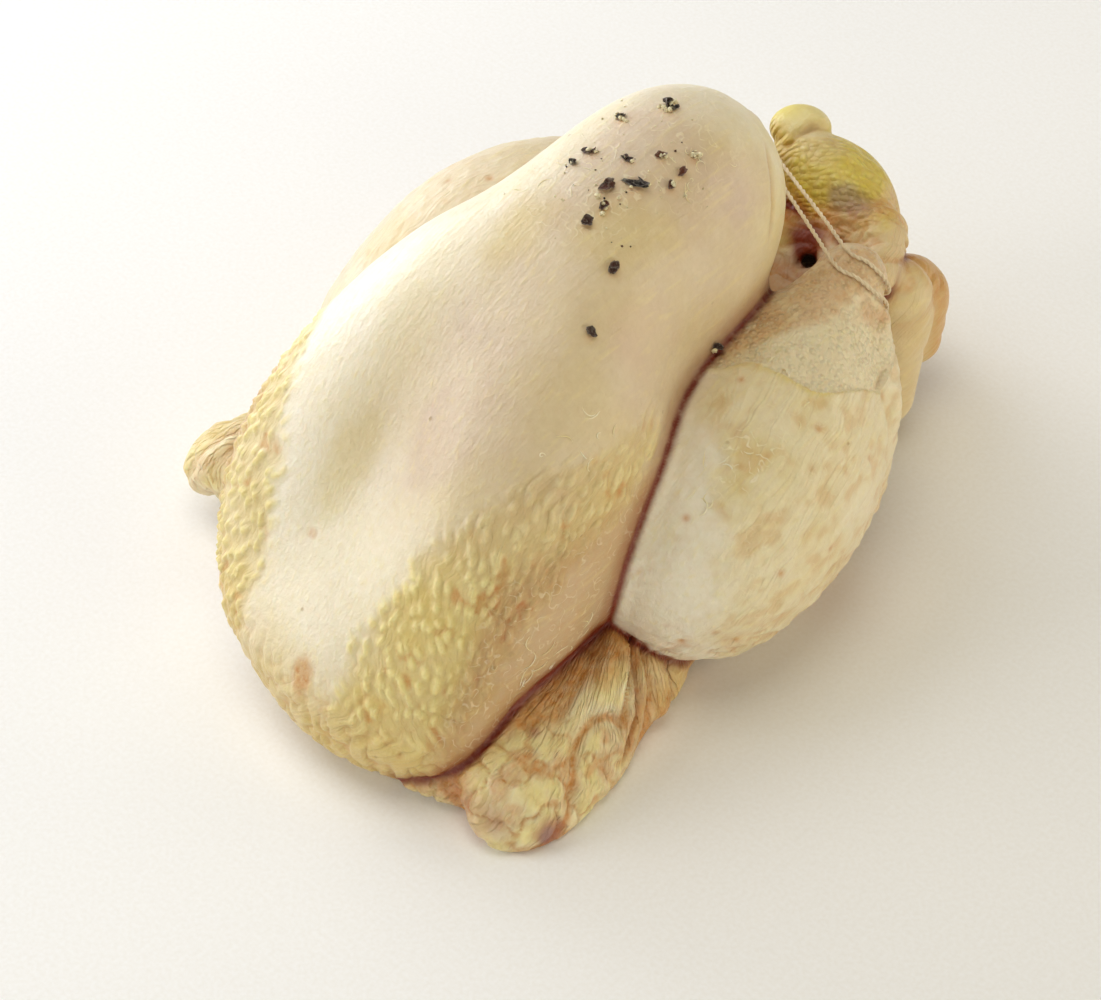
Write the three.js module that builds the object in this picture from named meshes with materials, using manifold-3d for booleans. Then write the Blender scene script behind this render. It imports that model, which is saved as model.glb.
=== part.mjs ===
// Whole raw chicken, trussed and lying on its back with the breast up.
// Millimetres, +Z up. -Y is the neck end, +Y the tail end and +X the bird's right side.

import * as THREE from 'three';
import { mergeVertices } from 'three/addons/utils/BufferGeometryUtils.js';
import Module from 'manifold-3d';

const wasm = await Module();
wasm.setup();

// Every form of the bird has a centre or ends, half sizes, and a pitch and yaw in degrees.
const back = { at: [2, 4, 36], radii: [50, 97, 38] };
const breast = { out: 20, at: [-23, 68], radii: [34, 75, 39], pitch: 38, yaw: 18, cleft: 16 };
const breastTip = { at: [0, 53, 93], radii: [33, 43, 41], pitch: 20 };
const neckSkin = { at: [17, -83, 18], radii: [36, 20, 22], yaw: 8 };
const cropSkin = { at: [-20, -78, 24], radii: [22, 17, 18] };
const pelvis = { at: [2, 102, 31], radii: [43, 34, 29] };
const bodyBlend = { back: 22, tip: 25, neck: 18, crop: 14, pelvis: 16 };

const thigh = { out: 58, at: [37, 38], radii: [31, 50, 37], pitch: 8, yaw: 12, blend: 24 };
const drumstick = { kneeOut: 55, knee: [1, 36.5], kneeRadius: 26, hockRadius: 11 };
const hocks = { right: [42, 92, 72], left: [-22, 113, 74] };
const leftLegShift = [1, 9, 8];
// A strip of skin along the outer edge of the right leg.
const strip = {
  top: [57, 90, 68], middle: [70.5, 76.5, 54], foot: [73, 66, 22], topRadius: 1.5, radius: 4, blend: 6,
};

const tail = { at: [4, 132.5, 43], radii: [24.5, 18, 27], pitch: -12, yaw: -14 };
const tailShoulder = { at: [-6, 132, 62], radii: [14, 10, 11], pitch: -12, yaw: -14, blend: 8 };
const tailSkirt = { near: [26, 127, 56], far: [40, 110, 57], nearRadius: 9, farRadius: 3.5, blend: 5 };
const tailKnob = { at: [-15, 138, 68.5], radii: [9.5, 8, 6.5], yaw: 43, blend: 2 };
const rump = {
  side: { low: [44, 108, 15], high: [38, 117, 42], lowRadius: 12, highRadius: 15 },
  rear: { low: [40, 128, 25], high: [36, 130, 35], lowRadius: 11, highRadius: 13.5 },
  left: { at: [-36, 113, 26], radii: [15, 20, 25], yaw: -10 },
  fold: 2,
  blend: 6,
};
const vent = { at: [14, 100, 61], radii: [20, 26, 13], pitch: 20, lip: 3 };

const wing = {
  elbowRadius: 18, wristRadius: 13, forearmFlat: 0.55,
  shoulderRadius: 8, leadRadius: 3, webRadius: 18, webFlat: 0.4, webReach: 0.6, webBlend: 8,
  handRadius: 11, tipRadius: 13, handFlat: 0.5, handFold: 8, handRoot: [-4, 10, -2],
  facing: [0.7, -0.2, 0.7], handFacing: [0.6, 0, 0.8],
};
const wings = {
  right: { side: 1, shoulder: [40, -84, 8], elbow: [60, -32, 15], wrist: [70, -76, 7], tip: [58, 2, 14], leadEnd: 13 },
  left: {
    side: -1, shoulder: [-22, -70, 20], elbow: [-64, -16, 18], wrist: [-79, -50, 21], tip: [-58, 10, 14], leadEnd: 6,
  },
};
const creases = { rump: 12, leg: 9, tail: 10, wing: 8 };

// The middle of the bird's footprint, which is the origin of the finished part.
const footprintMiddle = [0.6, 24];

const skinStep = 5.8;
const skinBox = { low: [-104, -112, 0], high: [102, 162, 146] };

const cord = {
  radius: 0.65, sides: 8, steps: 80, clearance: 1.2, gap: 6.5, leftGap: 2.2, leftSlide: 5,
  knotRadius: 2.4, intoKnot: 0.6,
  turnsOver: [-50, -25, 0, 30, 60, 90], crossing: [0.2, 0.4, 0.6, 0.8],
};

// Cracked pepper on the breast: where each flake lies, its length, width and turn.
const flakeForm = { thickness: 0.55, sunk: 0.3, leastSize: 0.85, unevenness: 0.3 };
const pepper = [
  { at: [-8, 46, 133], length: 4.6, width: 3.4, turn: 70 },
  { at: [0, 57.5, 134], length: 5.0, width: 4.0, turn: 10 },
  { at: [-5.5, 30.5, 132], length: 4.0, width: 2.8, turn: 20 },
  { at: [-6.5, 25, 130], length: 2.6, width: 2.0, turn: 0 },
  { at: [4.5, 34.5, 132], length: 3.0, width: 1.9, turn: 30 },
  { at: [6.5, 24, 130], length: 5.2, width: 3.2, turn: 100 },
  { at: [10, 19, 129], length: 4.4, width: 3.6, turn: 60 },
  { at: [11.5, 30.5, 130], length: 6.4, width: 2.6, turn: 35 },
  { at: [10, 42.5, 132], length: 3.2, width: 2.4, turn: 80 },
  { at: [16.5, 44, 129], length: 3.2, width: 2.2, turn: 95 },
  { at: [17, 38.5, 128], length: 2.8, width: 2.0, turn: 80 },
  { at: [15, 50.5, 130], length: 3.0, width: 2.4, turn: 150 },
  { at: [10, 12.5, 127], length: 3.4, width: 3.2, turn: 0 },
  { at: [23, 9, 121], length: 4.2, width: 2.6, turn: 120 },
  { at: [30.5, -8.5, 114], length: 3.4, width: 2.6, turn: 40 },
  { at: [34, 40, 75], length: 3.2, width: 2.4, turn: 60 },
];

// ---- forms, each a function that gives the distance from a point to its surface ----

function turned(pitch = 0, yaw = 0) {
  const euler = new THREE.Euler(pitch * THREE.MathUtils.DEG2RAD, 0, yaw * THREE.MathUtils.DEG2RAD, 'ZYX');
  return new THREE.Quaternion().setFromEuler(euler).invert();
}

function egg({ at, radii, pitch, yaw }) {
  const centre = new THREE.Vector3(...at);
  const unturn = turned(pitch, yaw);
  const size = new THREE.Vector3(...radii);
  const local = new THREE.Vector3();
  return (point) => {
    local.copy(point).sub(centre).applyQuaternion(unturn).divide(size);
    const reach = local.length();
    const slope = Math.max(local.divide(size).length(), 1e-9);
    return reach * (reach - 1) / slope;
  };
}

// A cone with round ends, from a ball at one end to a ball at the other.
function taper(start, end, startRadius, endRadius) {
  const a = new THREE.Vector3(...start);
  const run = new THREE.Vector3(...end).sub(a);
  const runSq = run.lengthSq();
  const drop = startRadius - endRadius;
  const flank = runSq - drop * drop;
  const from = new THREE.Vector3();
  const across = new THREE.Vector3();
  return (point) => {
    from.copy(point).sub(a);
    const along = from.dot(run);
    const past = along - runSq;
    const wide = across.copy(from).multiplyScalar(runSq).addScaledVector(run, -along).lengthSq();
    const alongSq = along * along * runSq;
    const pastSq = past * past * runSq;
    const lean = Math.sign(drop) * drop * drop * wide;
    if (Math.sign(past) * flank * pastSq > lean) return Math.sqrt(wide + pastSq) / runSq - endRadius;
    if (Math.sign(along) * flank * alongSq < lean) return Math.sqrt(wide + alongSq) / runSq - startRadius;
    return (Math.sqrt(wide * flank / runSq) + along * drop) / runSq - startRadius;
  };
}

// The same cone pressed flat along one direction.
function blade(start, end, startRadius, endRadius, facing, flat) {
  const a = new THREE.Vector3(...start);
  const normal = new THREE.Vector3(...facing).normalize();
  const spread = (v) => v.addScaledVector(normal, (1 / flat - 1) * v.dot(normal));
  const far = spread(new THREE.Vector3(...end).sub(a));
  const cone = taper([0, 0, 0], far.toArray(), startRadius, endRadius);
  const local = new THREE.Vector3();
  return (point) => cone(spread(local.copy(point).sub(a))) * Math.sqrt(flat);
}

function blend(a, b, width) {
  return (point) => {
    const da = a(point);
    const db = b(point);
    const near = Math.max(width - Math.abs(da - db), 0) / width;
    return Math.min(da, db) - near * near * width / 4;
  };
}

function carve(form, hole, width) {
  const outside = blend((point) => -form(point), hole, width);
  return (point) => -outside(point);
}

// ---- the bird ----

function breastForm() {
  const half = (side) => egg({
    at: [side * breast.out, ...breast.at],
    radii: breast.radii,
    pitch: breast.pitch,
    yaw: side * breast.yaw,
  });
  return blend(half(1), half(-1), breast.cleft);
}

function bodyForm() {
  let form = blend(egg(back), breastForm(), bodyBlend.back);
  form = blend(form, egg(breastTip), bodyBlend.tip);
  form = blend(form, egg(neckSkin), bodyBlend.neck);
  form = blend(form, egg(cropSkin), bodyBlend.crop);
  return blend(form, egg(pelvis), bodyBlend.pelvis);
}

function legForm(side, hock, shift = [0, 0, 0]) {
  const centre = [side * thigh.out, ...thigh.at].map((value, i) => value + shift[i]);
  const upper = egg({ at: centre, radii: thigh.radii, pitch: thigh.pitch, yaw: side * thigh.yaw });
  const knee = [side * drumstick.kneeOut, ...drumstick.knee];
  return blend(upper, taper(knee, hock, drumstick.kneeRadius, drumstick.hockRadius), thigh.blend);
}

function rightLegForm() {
  const upperStrip = taper(strip.top, strip.middle, strip.topRadius, strip.radius);
  const lowerStrip = taper(strip.middle, strip.foot, strip.radius, strip.radius);
  const whole = (point) => Math.min(upperStrip(point), lowerStrip(point));
  return blend(legForm(1, hocks.right), whole, strip.blend);
}

// The forearm folded flat against the body, the web of skin before it with its leading edge, and the hand
// folded back behind it.
function wingForm({ side, shoulder, elbow, wrist, tip, leadEnd }) {
  const onSide = ([x, y, z]) => [side * x, y, z];
  const facing = onSide(wing.facing);
  const webEnd = elbow.map((value, i) => value + (wrist[i] - value) * wing.webReach);
  const handRoot = onSide(wing.handRoot).map((value, i) => value + wrist[i]);
  const forearm = blade(elbow, wrist, wing.elbowRadius, wing.wristRadius, facing, wing.forearmFlat);
  const web = blade(shoulder, webEnd, wing.shoulderRadius, wing.webRadius, facing, wing.webFlat);
  const hand = blade(handRoot, tip, wing.handRadius, wing.tipRadius, onSide(wing.handFacing), wing.handFlat);
  const lead = blade(shoulder, wrist, wing.leadRadius, leadEnd, facing, wing.webFlat);
  const sheet = blend(blend(forearm, web, wing.webBlend), lead, wing.webBlend);
  return blend(sheet, hand, wing.handFold);
}

function tailForm() {
  const mass = blend(egg(tail), egg(tailShoulder), tailShoulder.blend);
  const skirt = taper(tailSkirt.near, tailSkirt.far, tailSkirt.nearRadius, tailSkirt.farRadius);
  return blend(blend(mass, skirt, tailSkirt.blend), egg(tailKnob), tailKnob.blend);
}

function rumpForm() {
  const lobe = ({ low, high, lowRadius, highRadius }) => taper(low, high, lowRadius, highRadius);
  return blend(blend(lobe(rump.side), lobe(rump.rear), rump.fold), egg(rump.left), rump.blend);
}

function birdForm() {
  let form = blend(bodyForm(), rumpForm(), creases.rump);
  form = blend(form, rightLegForm(), creases.leg);
  form = blend(form, legForm(-1, hocks.left, leftLegShift), creases.leg);
  form = blend(form, tailForm(), creases.tail);
  form = blend(form, wingForm(wings.right), creases.wing);
  form = blend(form, wingForm(wings.left), creases.wing);
  form = carve(form, egg(vent), vent.lip);
  return (point) => Math.max(form(point), -point.z);
}

// ---- from a form to a closed skin of triangles ----

const cornerSteps = [0, 1, 2, 3, 4, 5, 6, 7].map((corner) => [corner & 1, (corner >> 1) & 1, corner >> 2]);

// True when the corners named by the bits of a mask hang together along a cell's edges.
function hangsTogether(mask) {
  const first = cornerSteps.findIndex((_, corner) => mask & (1 << corner));
  if (first < 0) return true;
  let reached = 1 << first;
  for (let round = 0; round < 8; round += 1) {
    for (let corner = 0; corner < 8; corner += 1) {
      if (!(reached & (1 << corner))) continue;
      for (const flip of [1, 2, 4]) reached |= (1 << (corner ^ flip)) & mask;
    }
  }
  return reached === mask;
}

const simpleCell = Array.from({ length: 256 }, (_, mask) => hangsTogether(mask) && hangsTogether(255 ^ mask));

function sampleGrid(form, { low, high }, step) {
  const start = [low[0], low[1], low[2] - step / 2];
  const size = start.map((value, axis) => Math.ceil((high[axis] - value) / step) + 1);
  const strides = [1, size[0], size[0] * size[1]];
  const values = new Float32Array(size[0] * size[1] * size[2]);
  const point = new THREE.Vector3();
  for (let k = 0; k < size[2]; k += 1) {
    for (let j = 0; j < size[1]; j += 1) {
      for (let i = 0; i < size[0]; i += 1) {
        point.set(start[0] + i * step, start[1] + j * step, start[2] + k * step);
        values[i + j * strides[1] + k * strides[2]] = form(point);
      }
    }
  }
  return { start, size, strides, values, step };
}

function eachCell({ size, strides }, visit) {
  for (let k = 0; k < size[2] - 1; k += 1) {
    for (let j = 0; j < size[1] - 1; j += 1) {
      for (let i = 0; i < size[0] - 1; i += 1) {
        visit(i + j * strides[1] + k * strides[2], [i, j, k]);
      }
    }
  }
}

function cellMask(grid, cell, corners) {
  return corners.reduce((mask, offset, corner) => mask | (grid.values[cell + offset] < 0 ? 1 << corner : 0), 0);
}

// Fills the pinches where two stretches of skin would meet at a single edge or point.
function closePinches(grid, corners) {
  let changed = true;
  while (changed) {
    changed = false;
    eachCell(grid, (cell) => {
      if (simpleCell[cellMask(grid, cell, corners)]) return;
      const outside = corners.map((offset) => cell + offset).filter((at) => grid.values[at] >= 0);
      const nearest = outside.reduce((best, at) => (grid.values[at] < grid.values[best] ? at : best));
      grid.values[nearest] = -grid.step / 10;
      changed = true;
    });
  }
}

// The middle of the places where the form's surface crosses the edges of a cell.
function cellPoint(grid, cell, place, corners) {
  const crossing = new THREE.Vector3();
  const sum = new THREE.Vector3();
  let count = 0;
  for (let corner = 0; corner < 8; corner += 1) {
    for (const flip of [1, 2, 4]) {
      const other = corner ^ flip;
      const here = grid.values[cell + corners[corner]];
      const there = grid.values[cell + corners[other]];
      if (other < corner || (here < 0) === (there < 0)) continue;
      crossing.set(...cornerSteps[corner]);
      crossing.lerp(new THREE.Vector3(...cornerSteps[other]), here / (here - there));
      sum.add(crossing);
      count += 1;
    }
  }
  const origin = new THREE.Vector3(...place).multiplyScalar(grid.step).add(new THREE.Vector3(...grid.start));
  return sum.multiplyScalar(grid.step / count).add(origin);
}

function skinOver(form, box, step) {
  const grid = sampleGrid(form, box, step);
  const corners = cornerSteps.map(([i, j, k]) => i + j * grid.strides[1] + k * grid.strides[2]);
  closePinches(grid, corners);

  const points = [];
  const pointOfCell = new Map();
  eachCell(grid, (cell, place) => {
    const mask = cellMask(grid, cell, corners);
    if (mask === 0 || mask === 255) return;
    pointOfCell.set(cell, points.length);
    points.push(cellPoint(grid, cell, place, corners));
  });

  const triangles = [];
  const addPatch = (cells, outward) => {
    const ids = cells.map((cell) => pointOfCell.get(cell));
    const [a, b, c, d] = outward ? ids : ids.reverse();
    if (points[a].distanceTo(points[c]) < points[b].distanceTo(points[d])) triangles.push(a, b, c, a, c, d);
    else triangles.push(a, b, d, b, c, d);
  };
  eachCell(grid, (cell) => {
    for (let axis = 0; axis < 3; axis += 1) {
      const here = grid.values[cell] < 0;
      if (here === (grid.values[cell + grid.strides[axis]] < 0)) continue;
      const u = grid.strides[(axis + 1) % 3];
      const v = grid.strides[(axis + 2) % 3];
      addPatch([cell - u - v, cell - v, cell, cell - u], here);
    }
  });
  return solid(points.flatMap((point) => point.toArray()), triangles);
}

function solid(positions, triangles) {
  return new wasm.Manifold(new wasm.Mesh({
    numProp: 3,
    vertProperties: new Float32Array(positions),
    triVerts: new Uint32Array(triangles),
  }));
}

function solidFrom(geometry) {
  const plain = geometry.clone();
  plain.deleteAttribute('normal');
  plain.deleteAttribute('uv');
  const merged = mergeVertices(plain, 1e-4);
  return solid(merged.getAttribute('position').array, merged.index.array);
}

function geometryOf(body) {
  const { vertProperties, triVerts } = body.getMesh();
  const geometry = new THREE.BufferGeometry();
  geometry.setAttribute('position', new THREE.BufferAttribute(vertProperties, 3));
  geometry.setIndex(new THREE.BufferAttribute(triVerts, 1));
  geometry.computeVertexNormals();
  return geometry;
}

// ---- what lies on the bird ----

// The way out of a form at a point, one unit long.
function outward(form, point) {
  const reach = 0.5;
  const slope = new THREE.Vector3();
  for (const axis of ['x', 'y', 'z']) {
    const probe = point.clone();
    probe[axis] += reach;
    const ahead = form(probe);
    probe[axis] -= 2 * reach;
    slope[axis] = ahead - form(probe);
  }
  return slope.normalize();
}

// Moves a point along the way out until it stands at a height over the form.
function standAt(form, point, height) {
  for (let round = 0; round < 12; round += 1) {
    point.addScaledVector(outward(form, point), 0.8 * (height - form(point)));
  }
  return point;
}

// A cracked flake: a low lump of twenty facets with seeded uneven corners.
function flake({ at, length, width, turn }, draw) {
  const geometry = mergeVertices(new THREE.IcosahedronGeometry(1, 0).deleteAttribute('normal').deleteAttribute('uv'));
  const corners = geometry.getAttribute('position');
  const corner = new THREE.Vector3();
  for (let i = 0; i < corners.count; i += 1) {
    corner.fromBufferAttribute(corners, i).multiplyScalar(flakeForm.leastSize + flakeForm.unevenness * draw());
    corners.setXYZ(i, corner.x, corner.y, corner.z);
  }
  const thick = width * flakeForm.thickness;
  const foot = standAt(bird, new THREE.Vector3(...at), 0);
  const up = outward(bird, foot);
  const lean = new THREE.Quaternion().setFromUnitVectors(new THREE.Vector3(0, 0, 1), up);
  geometry.scale(length / 2, width / 2, thick);
  geometry.rotateZ(turn * THREE.MathUtils.DEG2RAD);
  geometry.applyQuaternion(lean);
  const centre = foot.addScaledVector(up, thick * flakeForm.sunk);
  geometry.translate(centre.x, centre.y, centre.z);
  return solidFrom(geometry);
}

function seededDraw(seed) {
  let state = seed;
  return () => {
    state = (Math.imul(state, 1664525) + 1013904223) >>> 0;
    return state / 4294967296;
  };
}

// One side of the loop: over the top of a hock, down its outer side and in beneath it.
function roundHock(side, hock, slide, degrees) {
  const knee = new THREE.Vector3(side * drumstick.kneeOut, ...drumstick.knee);
  const end = new THREE.Vector3(...hock);
  const shank = end.clone().sub(knee).normalize();
  const out = new THREE.Vector3(side, 0, 0).addScaledVector(shank, -side * shank.x).normalize();
  const up = new THREE.Vector3().crossVectors(out, shank).multiplyScalar(side);
  const centre = end.addScaledVector(shank, slide);
  const radius = Math.sqrt(drumstick.hockRadius ** 2 - Math.max(slide, 0) ** 2) + cord.clearance;
  return degrees.map((angle) => {
    const turn = angle * THREE.MathUtils.DEG2RAD;
    const point = centre.clone().addScaledVector(out, radius * Math.cos(turn));
    return point.addScaledVector(up, radius * Math.sin(turn));
  });
}

// The twine runs from its knot over the left hock, across to the right one, round it and back.
function twineRoute() {
  const over = cord.turnsOver;
  const under = [...over].reverse();
  const half = cord.gap / 2;
  const across = (from, to) => cord.crossing.map((share) => from.clone().lerp(to, share));
  const leftHalf = cord.leftGap / 2;
  const leftFront = roundHock(-1, hocks.left, cord.leftSlide - leftHalf, over);
  const rightFront = roundHock(1, hocks.right, -half, under);
  const rightRear = roundHock(1, hocks.right, half, over);
  const leftRear = roundHock(-1, hocks.left, cord.leftSlide + leftHalf, under);
  const stops = [
    ...leftFront, ...across(leftFront.at(-1), rightFront[0]), ...rightFront,
    ...rightRear, ...across(rightRear.at(-1), leftRear[0]), ...leftRear,
  ];
  const height = cord.radius + cord.clearance;
  return stops.map((stop) => (bird(stop) < height ? standAt(bird, stop, height) : stop));
}

function twine() {
  const route = twineRoute();
  const place = route[0].clone().lerp(route.at(-1), 0.5);
  standAt(bird, place, cord.knotRadius + cord.clearance);
  const [first, last] = [route[0], route.at(-1)].map((end) => end.clone().lerp(place, cord.intoKnot));
  const section = new THREE.Shape();
  for (let corner = 0; corner < cord.sides; corner += 1) {
    const turn = corner / cord.sides * 2 * Math.PI;
    const [x, y] = [cord.radius * Math.cos(turn), cord.radius * Math.sin(turn)];
    if (corner === 0) section.moveTo(x, y);
    else section.lineTo(x, y);
  }
  const strand = new THREE.ExtrudeGeometry(section, {
    steps: cord.steps,
    curveSegments: 1,
    extrudePath: new THREE.CatmullRomCurve3([first, ...route, last], false, 'centripetal'),
  });
  const knot = new THREE.IcosahedronGeometry(cord.knotRadius, 1);
  knot.translate(place.x, place.y, place.z);
  return solidFrom(strand).add(solidFrom(knot));
}

function material(color, roughness) {
  return new THREE.MeshStandardMaterial({ color, roughness, metalness: 0 });
}

function part(name, body, finish) {
  const mesh = new THREE.Mesh(geometryOf(body), finish);
  mesh.name = name;
  return mesh;
}

const bird = birdForm();
const pepperDraw = seededDraw(7);
const chicken = pepper.reduce((body, row) => body.add(flake(row, pepperDraw)), skinOver(bird, skinBox, skinStep));

const group = new THREE.Group();
group.add(part('bird', chicken, material('#e6cfa6', 0.45)));
group.add(part('twine', twine(), material('#e8dcc0', 0.9)));
group.position.set(-footprintMiddle[0], -footprintMiddle[1], 0);

export default group;
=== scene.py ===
import math

import bpy
import numpy as np
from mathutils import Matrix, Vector


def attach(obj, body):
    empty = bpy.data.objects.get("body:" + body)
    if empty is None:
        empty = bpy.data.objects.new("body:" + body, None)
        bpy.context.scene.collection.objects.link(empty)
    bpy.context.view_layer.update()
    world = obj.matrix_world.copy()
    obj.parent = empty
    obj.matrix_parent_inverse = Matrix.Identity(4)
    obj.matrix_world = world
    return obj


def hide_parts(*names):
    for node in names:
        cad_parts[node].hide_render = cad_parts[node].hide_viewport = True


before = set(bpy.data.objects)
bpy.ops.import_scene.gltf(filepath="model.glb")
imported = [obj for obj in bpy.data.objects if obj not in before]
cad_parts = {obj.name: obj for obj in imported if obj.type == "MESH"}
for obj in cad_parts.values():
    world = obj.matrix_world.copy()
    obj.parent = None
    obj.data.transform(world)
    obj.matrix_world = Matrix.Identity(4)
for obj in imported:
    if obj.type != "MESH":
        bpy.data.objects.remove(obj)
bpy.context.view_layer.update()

# The bird is modelled in millimetres, breast up, neck end towards -Y and tail towards +Y,
# then moved so that the middle of its footprint is the origin.
footprintMiddle = np.array([0.6, 24.0, 0.0])
millimetre = 0.001


# forms: each gives the distance in mm from points to a surface, less than zero inside

def turn(pitch, yaw):
    # a rotation about X, then about Z, in degrees
    p, y = math.radians(pitch), math.radians(yaw)
    aroundX = np.array([[1, 0, 0], [0, math.cos(p), -math.sin(p)], [0, math.sin(p), math.cos(p)]])
    aroundZ = np.array([[math.cos(y), -math.sin(y), 0], [math.sin(y), math.cos(y), 0], [0, 0, 1]])
    return (aroundZ @ aroundX).astype(np.float32)


def egg(points, at, radii, pitch=0, yaw=0):
    local = (points - np.array(at, np.float32)) @ turn(pitch, yaw)
    size = np.array(radii, np.float32)
    reach = np.sqrt(((local / size) ** 2).sum(-1))
    slope = np.sqrt(((local / size ** 2) ** 2).sum(-1))
    return reach * (reach - 1) / np.maximum(slope, 1e-9)


def taper(points, start, end, startRadius, endRadius):
    # a round cone with a ball at each end
    a = np.array(start, np.float32)
    run = np.array(end, np.float32) - a
    runSq = float(run @ run)
    drop = startRadius - endRadius
    flank = runSq - drop * drop
    offset = points - a
    along = offset @ run
    past = along - runSq
    wide = ((offset * runSq - along[..., None] * run) ** 2).sum(-1)
    alongSq, pastSq = along * along * runSq, past * past * runSq
    lean = np.sign(drop) * drop * drop * wide
    side = (np.sqrt(wide * flank / runSq) + along * drop) / runSq - startRadius
    before, after = np.sign(along) * flank * alongSq < lean, np.sign(past) * flank * pastSq > lean
    side = np.where(before, np.sqrt(wide + alongSq) / runSq - startRadius, side)
    return np.where(after, np.sqrt(wide + pastSq) / runSq - endRadius, side)


def blade(points, start, end, startRadius, endRadius, facing, flat):
    # a taper flattened in the direction that it faces
    normal = np.array(facing, np.float32)
    normal /= np.linalg.norm(normal)
    a = np.array(start, np.float32)
    spread = lambda v: v + (1 / flat - 1) * (v @ normal)[..., None] * normal
    far = spread(np.array(end, np.float32) - a)
    return taper(spread(points - a), (0, 0, 0), far, startRadius, endRadius) * math.sqrt(flat)


def blend(a, b, width):
    near = np.maximum(width - np.abs(a - b), 0) / width
    return np.minimum(a, b) - near * near * width / 4


def carve(form, hole, width):
    return -blend(-form, hole, width)


# the bird's forms and how tightly they meet

body = {
    "back": dict(at=(2, 4, 36), radii=(50, 97, 38)),
    "breastOut": 20, "breastAt": (-23, 68), "breastRadii": (34, 75, 39), "breastPitch": 38, "breastYaw": 18,
    "cleft": 16,
    "tip": dict(at=(0, 53, 93), radii=(33, 43, 41), pitch=20),
    "neck": dict(at=(17, -83, 18), radii=(36, 20, 22), yaw=8),
    "crop": dict(at=(-20, -78, 24), radii=(22, 17, 18)),
    "pelvis": dict(at=(2, 102, 31), radii=(43, 34, 29)),
    "blends": dict(back=22, tip=25, neck=18, crop=14, pelvis=16),
}
leg = {
    "thighOut": 58, "thighAt": (37, 38), "thighRadii": (31, 50, 37), "pitch": 8, "yaw": 12, "blend": 24,
    "kneeOut": 55, "knee": (1, 36.5), "kneeRadius": 26, "hockRadius": 11,
    "rightHock": (42, 92, 72), "leftHock": (-22, 113, 74), "leftShift": (1, 9, 8),
    "strip": dict(start=(57, 90, 68), end=(70.5, 76.5, 54), startRadius=1.5, endRadius=4),
    "stripFoot": dict(start=(70.5, 76.5, 54), end=(73, 66, 22), startRadius=4, endRadius=4), "stripBlend": 6,
}
tailEnd = {
    "mass": dict(at=(4, 132.5, 43), radii=(24.5, 18, 27), pitch=-12, yaw=-14),
    "skirt": dict(start=(26, 127, 56), end=(40, 110, 57), startRadius=9, endRadius=3.5), "skirtBlend": 5,
    "shoulder": dict(at=(-6, 132, 62), radii=(14, 10, 11), pitch=-12, yaw=-14), "shoulderBlend": 8,
    "knob": dict(at=(-15, 138, 68.5), radii=(9.5, 8, 6.5), yaw=43), "knobBlend": 1,
    "sideLobe": dict(start=(44, 108, 15), end=(38, 117, 42), startRadius=12, endRadius=15),
    "rearLobe": dict(start=(40, 128, 25), end=(36, 130, 35), startRadius=11, endRadius=13.5),
    "leftLobe": dict(at=(-36, 113, 26), radii=(15, 20, 25), yaw=-10), "lobeFold": 2, "lobeBlend": 6,
    "vent": dict(at=(14, 100, 61), radii=(20, 26, 13), pitch=20), "ventLip": 3,
    "hole": dict(start=(13.5, 109, 52), end=(11, 113, 42), startRadius=2.2, endRadius=2.8), "holeLip": 4,
}
wing = {
    "elbowRadius": 18, "wristRadius": 13, "forearmFlat": 0.55, "facing": (0.7, -0.2, 0.7),
    "shoulderRadius": 8, "leadRadius": 3, "webRadius": 18, "webFlat": 0.4, "webReach": 0.6, "webBlend": 8,
    "handRadius": 11, "tipRadius": 13, "handFlat": 0.5, "handFold": 8,
    "handRoot": (-4, 10, -2), "handFacing": (0.6, 0, 0.8),
    "right": dict(side=1, shoulder=(40, -84, 8), elbow=(60, -32, 15), wrist=(70, -76, 7),
                  tip=(58, 2, 14), leadEnd=13),
    "left": dict(side=-1, shoulder=(-22, -70, 20), elbow=(-64, -16, 18), wrist=(-79, -50, 21),
                 tip=(-58, 10, 14), leadEnd=6),
}
# how softly each part meets those before it
creases = {"rump": 5, "rightLeg": 7, "leftLeg": 7, "tail": 4, "rightWing": 4, "leftWing": 4}


def bodyForm(points):
    half = lambda side: egg(points, (side * body["breastOut"], *body["breastAt"]), body["breastRadii"],
                            body["breastPitch"], side * body["breastYaw"])
    form = blend(egg(points, **body["back"]), blend(half(1), half(-1), body["cleft"]), body["blends"]["back"])
    for name in ("tip", "neck", "crop", "pelvis"):
        form = blend(form, egg(points, **body[name]), body["blends"][name])
    return form


def legForm(points, side, hock, shift=(0, 0, 0)):
    thighAt = np.array((side * leg["thighOut"], *leg["thighAt"])) + shift
    thigh = egg(points, thighAt, leg["thighRadii"], leg["pitch"], side * leg["yaw"])
    knee = (side * leg["kneeOut"], *leg["knee"])
    form = blend(thigh, taper(points, knee, hock, leg["kneeRadius"], leg["hockRadius"]), leg["blend"])
    if side < 0:
        return form
    strip = np.minimum(taper(points, **leg["strip"]), taper(points, **leg["stripFoot"]))
    return blend(form, strip, leg["stripBlend"])


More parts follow.
